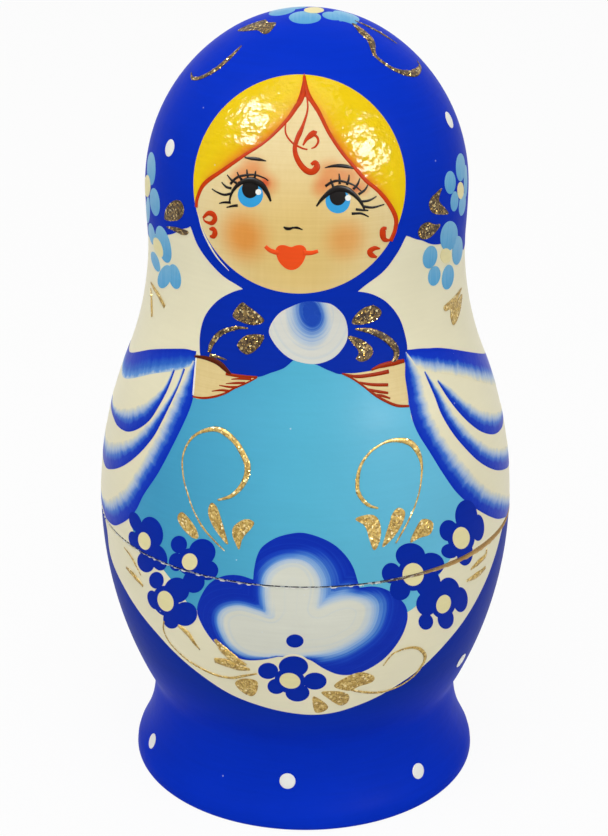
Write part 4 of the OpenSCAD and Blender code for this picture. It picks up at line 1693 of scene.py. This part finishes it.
RIGHT_FOLDS = [
    ([(488, 352.7), (451.4, 349.1), (426.4, 348.3), (406.4, 349.8)], [(497, 385), (458.7, 376),
     (429.4, 371), (407, 362)]),
    ([(503, 421), (501.2, 428.3), (493.9, 434.2), (482.2, 432), (470.4, 423.9), (458.7, 412.1),
     (448.4, 398.9), (437.6, 381.7)], [(502.7, 406.1), (495.4, 412.5), (480.7, 409.6), (466, 400.8),
     (451.4, 388.6), (437.6, 379.3)]),
    ([(510.8, 457.6), (508.6, 465), (501.2, 470.1), (491, 468.6), (477.8, 460.6), (463.1, 445.9),
     (451.4, 431.2), (441.1, 413.6), (433.8, 394.5), (424.4, 372.4)], [(510, 442.4), (501.2, 448.2),
     (488, 445.3), (473.4, 435), (458.7, 419.9), (448.4, 405.2), (438.2, 388.6), (424.9, 370.4)]),
    ([(510, 510.4), (501.2, 518.5), (491, 517), (476.3, 509), (466, 501.6), (454.3, 489.9),
     (441.1, 470.8), (429.4, 451.8), (419.1, 435.6), (413.2, 422.4), (409.6, 407.7), (407.4, 396),
     (405.2, 378.4), (404, 362), (405, 351.5)], [(510, 494.7), (492.4, 490.3), (477.8, 478.6),
     (463.1, 462.4), (451.4, 447.8), (440.6, 431.6), (431.8, 414), (426, 396.4), (421, 376.4), (413, 361),
     (406, 352)]),
]
PAST_SIDE = 16.0
FOLD_LIFT = (0.4, 1.2, 1.4, 1.8)
FOLD_LEVEL = (0.8, 1.0, 1.2, 1.1)
TIP_SHARE = 0.45
NEAR_TIP = np.array((0.525, 0.8))
print("folds:", len(LEFT_FOLDS) + len(RIGHT_FOLDS))

# %% Paint the sleeves
def paint_sleeves():
    """Four folds on each sleeve."""
    step = 0.5 * detail
    for folds, way, cuff in ((LEFT_FOLDS, -1, "left cuff"), (RIGHT_FOLDS, 1, "right cuff")):
        for number, (hard, soft) in enumerate(folds):
            hard = side_chart(cast(hard))
            soft = side_chart(cast(soft))
            tip = hard[:1] * TIP_SHARE + soft[:1] * (1 - TIP_SHARE) + (way * PAST_SIDE, FOLD_LIFT[number])
            hard, soft = (
                flow(np.concatenate([tip, edge[:1] * NEAR_TIP + tip * (1 - NEAR_TIP), edge]), step)
                for edge in (hard, soft))
            band = np.concatenate([hard, soft[:0:-1]])
            name = "sleeve fade" if number else cuff
            fill("sleeves", name, [band], FOLD_LEVEL[number], paint_map=fade_between(hard, soft), grid=0.8)


paint_sleeves()
print("skins so far:", len(skins))

# %% [markdown]
# ## Flowers
# One big flower sits across the seam. Its petals go from blue at the rim to white in the middle, so it
# gets the same kind of fade as the sleeves. Around it are small plain blue flowers with a cream heart.
# Pale flowers sit on the sides and on the crown of the scarf.

# %% Plan the flowers
BIG_RIM = [
    [(278, 656.6), (264, 659.4), (248.6, 660.1), (234.5, 656.6), (220.5, 648.2), (209.3, 636.3),
     (200.8, 622.3), (197.3, 611), (199.4, 599.8), (208, 585), (219.1, 577.5), (230.3, 574.8),
     (241.5, 575.7), (253.2, 579.5)],
    [(253.2, 579.5), (254.2, 568.9), (257, 556.3), (262.6, 546.5), (275.2, 538.1), (289.2, 533.9),
     (303, 532.7), (319.3, 537.1), (334, 544.5), (345.7, 555.5), (353.1, 567.2), (357.5, 580.4),
     (359.6, 587.6)],
    [(359.6, 587.6), (372.1, 586.3), (383.9, 588.5), (395.6, 595.1), (404.4, 603.9), (407.4, 612.7),
     (406.6, 623), (401.5, 636.2), (392.7, 649.4), (380.9, 661.1), (366.3, 669.9), (353.1, 674.3),
     (338.4, 674.3), (323.7, 668.4), (309.1, 659.6), (293, 657), (278, 656.6)],
]
BIG_WHITE = [
    [(293, 657), (278, 656.2), (261.2, 656.6), (244.3, 653), (231.3, 644.2), (223.4, 631.6),
     (220.6, 620.8), (222.5, 613.4), (229.5, 608.6), (241.5, 607.2), (258.4, 612), (270.5, 616.6)],
    [(270.5, 616.6), (267.5, 606), (265.8, 593), (266.6, 580.2), (271.2, 571.3), (280, 564.6),
     (290.6, 561.4), (301.7, 562.3), (310.5, 567.7), (317, 577), (319.3, 587.3), (318.3, 606.8)],
    [(318.3, 606.8), (334, 600.5), (351.6, 597.5), (366.7, 602.4), (370.1, 612.7), (364.3, 629.8),
     (347.7, 643), (331.1, 650.3), (312, 654.2), (293, 657)],
]
SMALL_FLOWERS = [
    ((144.7, 540.9, 6, 9, -15), [(135.6, 521.9, 5.6, 10.5, -20), (151.7, 532.4, 11.2, 16, -15),
     (133.8, 539.5, 4.6, 8.4, -15), (158.8, 557.7, 8.4, 13, -15), (146.1, 561.9, 8.4, 10.5, -15)]),
    ((189.9, 561.6, 7.7, 8.4, 0), [(179.1, 544.4, 8.1, 8.7, 0), (202.3, 552.1, 13.3, 13.3, 0),
     (176.3, 561.9, 7.3, 9.1, 0), (207.9, 570.3, 10.5, 9.8, 0), (193.8, 581.6, 11, 11.2, 0)]),
    ((165.8, 600.9, 7.7, 10.5, -20), [(156.6, 580.2, 7.3, 8.4, 0), (177, 590, 12.6, 12.6, 0),
     (153.8, 599.8, 5.6, 9.8, -20), (185.4, 613.8, 11.9, 11.9, 0), (172.1, 618.7, 8.7, 9.8, 0)]),
    ((460.9, 537.9, 8.5, 11, 0), [(448.4, 530.5, 9.1, 10.6, 0), (466, 515.9, 11, 16, 0),
     (477.8, 527.6, 6.2, 13.2, 0), (449.9, 551, 8.8, 7.3, 0), (464.6, 552.5, 8, 13, 0)]),
    ((412.9, 574.3, 10.6, 11.4, 0), [(410.3, 555.5, 14.7, 12.5, 0), (430.8, 564.3, 13.2, 11.7, 0),
     (391.2, 573.1, 9.5, 10.3, 0), (427.9, 583.3, 12.5, 14.7, 0), (400, 589.2, 10.3, 11, 0),
     (426.4, 603.9, 10.3, 11.7, 0)]),
    ((443.3, 603.9, 7, 9.5, 20), [(448.4, 590.7, 11, 13.2, 0), (460.2, 599.5, 7.3, 12.5, 0),
     (445.5, 618.5, 8, 10.3, 0), (425.7, 621.5, 7.3, 8.1, 0)]),
    ((290, 680.5, 10.5, 7.7, 12), [(268.2, 670.7, 10.1, 8.1, 0), (293.5, 666.4, 14.7, 10.5, 0),
     (314.9, 680.9, 11.7, 8.5, 0), (297.5, 692.5, 12, 8.8, 0), (276.6, 686.1, 9.1, 7.7, 0)]),
]
PALE_FLOWERS = [
    ((147.7, 186, 3, 11, 0), [(151.6, 168.7, 4.2, 16.6, 0), (155.1, 202, 4.8, 14, -6),
     (148.3, 210, 2, 13, 0)]),
    ((158.5, 247.5, 4, 10.5, -18), [(152.2, 234.1, 3, 11, -10), (163.7, 244.3, 6.6, 19, -14),
     (155.7, 261.7, 3.4, 10.5, -18), (165, 276.6, 6.4, 12, 18), (174.8, 276.6, 6, 12.6, -12)]),
    ((460.2, 190.4, 3.2, 8.5, 0), [(460.2, 167.3, 4.6, 14, 0), (449.9, 182.5, 5.5, 11.5, 0),
     (454.2, 201.3, 3.9, 10, 4), (462, 204.3, 3.3, 11.5, 6), (465.3, 181, 1.8, 16, 0)]),
    ((445.7, 255.8, 5.4, 7.6, 0), [(448.7, 235.9, 8.5, 15, 8), (457.2, 250.4, 5, 14.5, 5),
     (429.9, 257.1, 7, 11.5, 12), (434.1, 275.9, 6, 10, 10), (447.7, 277.1, 5.8, 12.5, 8)]),
    ((314, 10.5, 10, 3, 0), [(282, 11.9, 13.4, 3.5, -10), (305, 17.8, 16, 6.3, 0),
     (333.1, 16.3, 11, 4, 8)]),
]


print("small flowers:", len(SMALL_FLOWERS), "pale flowers:", len(PALE_FLOWERS))

# %% Paint the flowers
BIG_HEART = oval((294.9, 640.8), (8.7, 6.6))
CROWN_FLOWER = 4
UNDER_HEART = (5, 5)
HALO = (2.2, 2)
PETAL_FADE_MM = 2.0
PETAL_FADE_RIGHT_MM = 2.6
PETAL_FADE_TOP_MM = 0.9


def petal_line(petal, wider=(0, 0)):
    """Pixels round a petal, given by its middle, half sizes and tilt."""
    x, y, half_width, half_height, tilt = petal
    return oval((x, y), (half_width + wider[0], half_height + wider[1]), tilt)


def petal_map(loops):
    """Paint map for pale petals: bristles run out from each petal's middle."""
    middles = np.array([loop.mean(0) for loop in loops])
    reach = np.array([np.hypot(*(loop - loop.mean(0)).T).mean() for loop in loops])

    def paint_map(points):
        gaps = np.hypot(*(points[:, None] - middles[None]).transpose(2, 0, 1)) / reach
        nearest = gaps.argmin(1)
        offset = points - middles[nearest]
        return np.stack([offset[:, 0] * 0.22 + nearest, 0.55 + offset[:, 1] * 0.06], 1)

    return paint_map


def paint_flowers():
    """The big flower, the small blue ones and the pale ones."""
    step = 0.4 * detail
    rim = cornered(BIG_RIM, "side", step)
    white = cornered(BIG_WHITE, "side", step)
    middle = white.mean(0)

    def big_map(points):
        to_rim = distance_to(points, np.append(rim, rim[:1], 0))
        to_white = distance_to(points, np.append(white, white[:1], 0))
        inside = is_inside(points, white)
        right_of = np.clip((points[:, 0] - middle[0]) / 9, 0, 1)
        above = np.clip((points[:, 1] - SEAM_HIGH_S) / 5, 0, 1)
        reach = PETAL_FADE_MM + PETAL_FADE_RIGHT_MM * right_of + PETAL_FADE_TOP_MM * above
        reach = np.minimum(reach, to_rim + to_white)
        blend = np.clip(1 - to_white / np.maximum(reach, 1e-9), 0, 1)
        share = np.where(inside, 1.06 - 0.26 * np.exp(-to_white / 0.8), 0.8 * blend)
        swept = np.arctan2(points[:, 0] - middle[0], points[:, 1] - middle[1])
        bristle = np.where(inside, to_white * -0.3, to_white * 0.6) + 0.3 * swept
        return np.stack([bristle, share], 1)

    fill("flowers", "petal fade", [rim], 1, paint_map=big_map, grid=0.7)
    pixel_fill("flowers", "flower blue", [BIG_HEART], 2.2)
    halo = [petal_line(petal, HALO) for petal in SMALL_FLOWERS[-1][1]]
    pixel_fill("flowers", "cream", halo, 1.6, grid=1.0)
    for heart, petals in SMALL_FLOWERS:
        shapes = [petal_line(petal) for petal in petals] + [petal_line(heart, UNDER_HEART)]
        pixel_fill("flowers", "flower blue", shapes, 2.2, grid=1.0)
        pixel_fill("flowers", "petal centre", [petal_line(heart)], 3)
    for number, (heart, petals) in enumerate(PALE_FLOWERS):
        chart = "crown" if number == CROWN_FLOWER else "side"
        loops = [trace(petal_line(petal), chart, step, True) for petal in petals]
        if chart == "crown":
            centre = trace(petal_line(heart), chart, step, True).mean(0)
            loops += [2 * centre - loop for loop in loops[:3:2]]
        fill("side_flowers", "side petal", loops, 2.2, chart, paint_map=petal_map(loops), grid=0.8)
        pixel_fill("side_flowers", "petal centre", [petal_line(heart)], 3, chart)


paint_flowers()
print("skins so far:", len(skins))

# %% [markdown]
# ## Gold
# Gold leaves and scrolls are drawn with a bottle of glitter glue, so they stand a little proud and have
# soft fat ends. Leaves are filled shapes and scrolls are strokes.

# %% Plan the gold
GOLD_LEAVES = [
    [(232.8, 314.4), (241.2, 302.9), (247.3, 305.2), (264.2, 319.7), (253.5, 325.1), (238.2, 320.5)],
    [(263.9, 335.8), (247.3, 335), (237.4, 345), (246.6, 354.5), (258.1, 348)],
    [(352.2, 319.7), (360.6, 309.8), (372.9, 305.2), (381.3, 311.3), (377.5, 319), (366.7, 323.6),
     (353.7, 324.3)],
    [(347.6, 336.6), (360.6, 338.9), (372.1, 348.1), (370.6, 357.2), (362.1, 361.8), (356, 358.8),
     (358.3, 351.1)],
    [(181.2, 512.1), (186.8, 515.6), (195.2, 526.8), (198.7, 536.7), (193.8, 538.1), (184, 529.6),
     (177.7, 518.4)],
    [(211, 503), (216.4, 506), (221, 518), (228.2, 543.7), (220.5, 536.7), (212.1, 524), (208.3, 512)],
    [(254, 522), (245.3, 519.1), (234.5, 525.4), (232.4, 533.9), (235.9, 543.7), (239.4, 549.3),
     (242.9, 538.1), (251.4, 528.2)],
    [(355.3, 518.8), (369.2, 514.4), (378, 518.8), (380.9, 532), (378, 545.2), (373.6, 549.9),
     (369.2, 539.3), (364.8, 526.1)],
    [(392.7, 512.9), (398.6, 507.5), (404.8, 511.9), (402.2, 523.2), (392.7, 537.9), (382.4, 546.9),
     (385.4, 534.9), (389.7, 521.7)],
    [(422, 519.3), (432.3, 522.1), (430.4, 533.4), (419.1, 537.9), (410.3, 542.3), (413.7, 532)],
    [(235.2, 682.6), (244.3, 678.4), (257, 681.2), (257, 691), (251.4, 695.9), (241.5, 691)],
    [(334, 686), (345.7, 677.2), (360.4, 672.1), (373.6, 675.8), (372.1, 681.6), (359, 686),
     (348.7, 690.4)],
    [(321.5, 691.9), (338.4, 691.2), (348.7, 694.8), (347.2, 702.2), (339.9, 705.1), (329.6, 699.2)],
    [(313.5, 696.3), (322.3, 700.7), (328.1, 706.6), (323.7, 711), (315.7, 712.1), (312.7, 703.6)],
    [(165.1, 219.2), (166, 210), (169.4, 204.3), (174.6, 200.3), (180.4, 200.9), (183.8, 206.6),
     (183.8, 213.5), (179.8, 219.2), (174, 220.9)],
    [(166.6, 226.7), (174, 226.7), (180.9, 228.4), (188.4, 231.3), (187.2, 234.7), (182.1, 234.7),
     (176.3, 231.8)],
    [(441.4, 188.5), (438.9, 200.7), (448.1, 212.8), (441.4, 214.6), (432.3, 212.8), (428.7, 205.5),
     (430.5, 198.3), (435.3, 193.4)],
    [(440.2, 224.3), (435.3, 232.2), (428.1, 238.3), (420.8, 238.9), (417.7, 232.2), (421.4, 225),
     (428.1, 221.9), (434.1, 224.3)],
    [(461.4, 287.5), (451.7, 299), (443.8, 306.3), (445, 311.1), (449.9, 309.9), (450.5, 318.4),
     (453.5, 325.1), (458.4, 316), (460.8, 305), (461.8, 294.1), (457.2, 299)],
    [(238, 30.6), (249.5, 24.9), (264.8, 20.1), (268.6, 22.6), (276.3, 23.3), (271.5, 30.6),
     (264.8, 34.4), (257.1, 30.6), (243.7, 31.6)],
]
GOLD_STROKES = [
    ([(248.1, 328.2), (236.6, 327.9), (221.3, 332.8), (212.1, 343.5), (209.4, 352.1)],
     (1.5, 4, 5.5, 6.5, 4)),
    ([(210, 355), (218, 357), (226.9, 359.8)], (4, 3, 1.2)),
    ([(355.3, 328.9), (371.3, 331.2), (386.6, 338.9), (395.8, 349.6), (394.3, 360.3), (386.6, 364.4)],
     (1.5, 6, 7, 8, 7, 2)),
    ([(218.4, 500), (232.8, 495), (244.2, 482.1), (247.8, 467.8), (244.2, 456.3), (235.6, 441.9),
     (224.1, 431.9), (214.1, 429), (201.2, 431.9), (191.1, 439.1), (184.7, 450.5), (182.5, 462),
     (184, 479.2), (188.3, 495), (194, 510.8), (202.6, 526.6), (212.1, 538.1), (224.7, 550.7)], (2, 4,
     5.5, 6.5, 6.5, 6, 6.5, 5, 3, 2.5, 2, 1.8, 1.8, 1.6, 1.6, 2.4, 1.8, 1.4)),
    ([(378, 508.2), (367.7, 504.6), (358.9, 494.3), (357.2, 484), (358.9, 470.8), (363.3, 460.6),
     (372.1, 450.3), (385.4, 442.2), (398.6, 440), (410.3, 443), (417.6, 451.8), (421.3, 463.5),
     (421.3, 476.7), (419.1, 491.4), (414.7, 506), (407.4, 522.2), (395.6, 543)], (2, 4, 4.5, 4, 3, 2.4,
     2.2, 4, 6.5, 6.5, 3.5, 2, 1.8, 1.8, 1.8, 2.2, 1.6)),
    ([(124.4, 547.2), (132.1, 557.7), (141.2, 575.2)], (1.5, 3.5, 1.5)),
    ([(126.5, 567.5), (132.1, 573.1), (143.3, 585.8)], (3, 7.5, 3)),
    ([(164.4, 620.8), (163.7, 629.3), (168.6, 640.5), (177, 650.3), (188.2, 660.1), (202.3, 668.6),
     (216.3, 674.9), (231.7, 677.7), (244.3, 675.6), (257, 673.5)], (2, 2, 2, 2.4, 3, 3, 3.2, 3.4, 3.4,
     2)),
    ([(178.4, 625.1), (188.2, 633.5), (193.8, 641.9), (200.1, 649.6)], (4, 7.5, 5, 1.6)),
    ([(214.9, 639.1), (223.3, 648.9), (234.5, 658.7), (246.5, 665)], (4, 11, 12, 3)),
    ([(214.9, 660.1), (227.5, 662.9), (238.7, 667.1), (250, 669.3)], (7, 12, 10, 3)),
    ([(486.6, 548.1), (485.1, 555.5), (479.2, 561.3), (470.4, 569.4)], (2, 6, 7, 2)),
    ([(485.1, 567.2), (479.2, 573.1), (466, 581.1)], (4, 8.5, 2.5)),
    ([(383.1, 665.5), (392.7, 653.8), (407.4, 647.9), (419.1, 648.6), (425, 656.7), (420.6, 667),
     (411.8, 677.2), (398.6, 686), (381, 691.9), (363.3, 691.9), (351.6, 689.7)], (1.6, 2, 3, 4, 4.4, 3.4,
     2.4, 2.4, 3, 3.4, 3)),
    ([(151.1, 282.4), (158, 294), (164.9, 306.5)], (2.5, 5.5, 5)),
    ([(151.1, 288.1), (151.8, 302), (152.2, 316.8)], (2, 5, 4)),
    ([(241.8, 45.9), (232.3, 55.5), (217, 68.9), (201.7, 77.5), (193, 78.4), (191.5, 72.7)],
     (2, 7, 6.5, 5, 4, 1.5)),
    ([(352.8, 23.9), (362.4, 32.5), (370, 40.2), (373.8, 53.6), (383.4, 63.1), (396.8, 70.8),
     (412.1, 73.7), (419.8, 67), (416.9, 61.2)], (4, 12, 8, 4, 5, 8, 9, 6, 2)),
    ([(354.7, 21), (370, 27.7), (385.3, 36.3), (396.8, 44)], (2, 5, 5, 2)),
]
print("gold leaves:", len(GOLD_LEAVES), "gold strokes:", len(GOLD_STROKES))

# %% Paint the gold
LEAVES_ON_BLUE = (0, 1, 2, 3, 14, 15, 16, 17, 19)
STROKES_ON_BLUE = (0, 1, 2, 16, 17, 18)
WHITE_DOTS = [(170, 148), (449, 120), (152.5, 741), (287.5, 781), (418, 771), (460.9, 660.4)]
DOT_MM = 3.3


def paint_gold():
    """Gold leaves and scrolls, and the white dots."""
    for number, leaf in enumerate(GOLD_LEAVES):
        colour = "dull glitter" if number in LEAVES_ON_BLUE else "gold glitter"
        pixel_fill("gold", colour, [leaf], 4)
    for number, (pixels, widths) in enumerate(GOLD_STROKES):
        colour = "dull glitter" if number in STROKES_ON_BLUE else "gold glitter"
        pixel_stroke("gold", colour, pixels, widths, 3, step=0.5)
    set_dots("dots", "white", WHITE_DOTS, DOT_MM, 1.5)


paint_gold()
print("skins so far:", len(skins))
# %% [markdown]
# ## Gathering the coats
# Each coat becomes one piece on each half, such as the scarf on the top or the flowers below the seam.
# The strokes are swept now, and the flakes are scattered over all the gold.

# %% Gather the coats
lay_strokes()
FLAKES_PER_MM2 = 1.8
FLAKE_MM = 0.11
scatter_flakes("gold", FLAKES_PER_MM2, FLAKE_MM)
for part, half in dict.fromkeys(skin[:2] for skin in skins):
    chosen = [skin for skin in skins if skin[:2] == (part, half)]
    keep(collect(f"outer_{half}_{part}", chosen), f"outer_{half}_{part}", f"outer_{half}")
print("painted pieces:", len(pieces))

# %% [markdown]
# ## The dolls inside
# Nobody has seen this nest open, so the dolls inside wear the same dress as the outer one, as in most
# nests. Their painting is the same set of coats, cut more coarsely, shrunk to each doll's size and set
# on its standing height. Each half gets one painting with all its colours.

# %% Paint the dolls inside
detail = 1.5
skins.clear()
for paint in (
        paint_scarf, paint_face, paint_features, paint_body, paint_sleeves, paint_flowers, paint_gold):
    paint()
lay_strokes()
for doll in DOLLS[1:] + ["smallest"]:
    for half in HALVES:
        chosen = [skin for skin in skins if skin.half == half]
        body = "smallest_doll" if doll == "smallest" else f"{doll}_{half}"
        name = f"{doll}_{half}_painting"
        keep(collect(name, chosen, size_of[doll], stand_of[doll]), name, body)
print("pieces in all:", len(pieces))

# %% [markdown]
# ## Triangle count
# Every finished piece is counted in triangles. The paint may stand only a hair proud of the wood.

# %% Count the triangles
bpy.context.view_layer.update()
triangles = {piece.name: sum(len(p.vertices) - 2 for p in piece.data.polygons) for piece in pieces}
print("pieces:", len(pieces), "triangles:", sum(triangles.values()), "most:", max(triangles.values()))
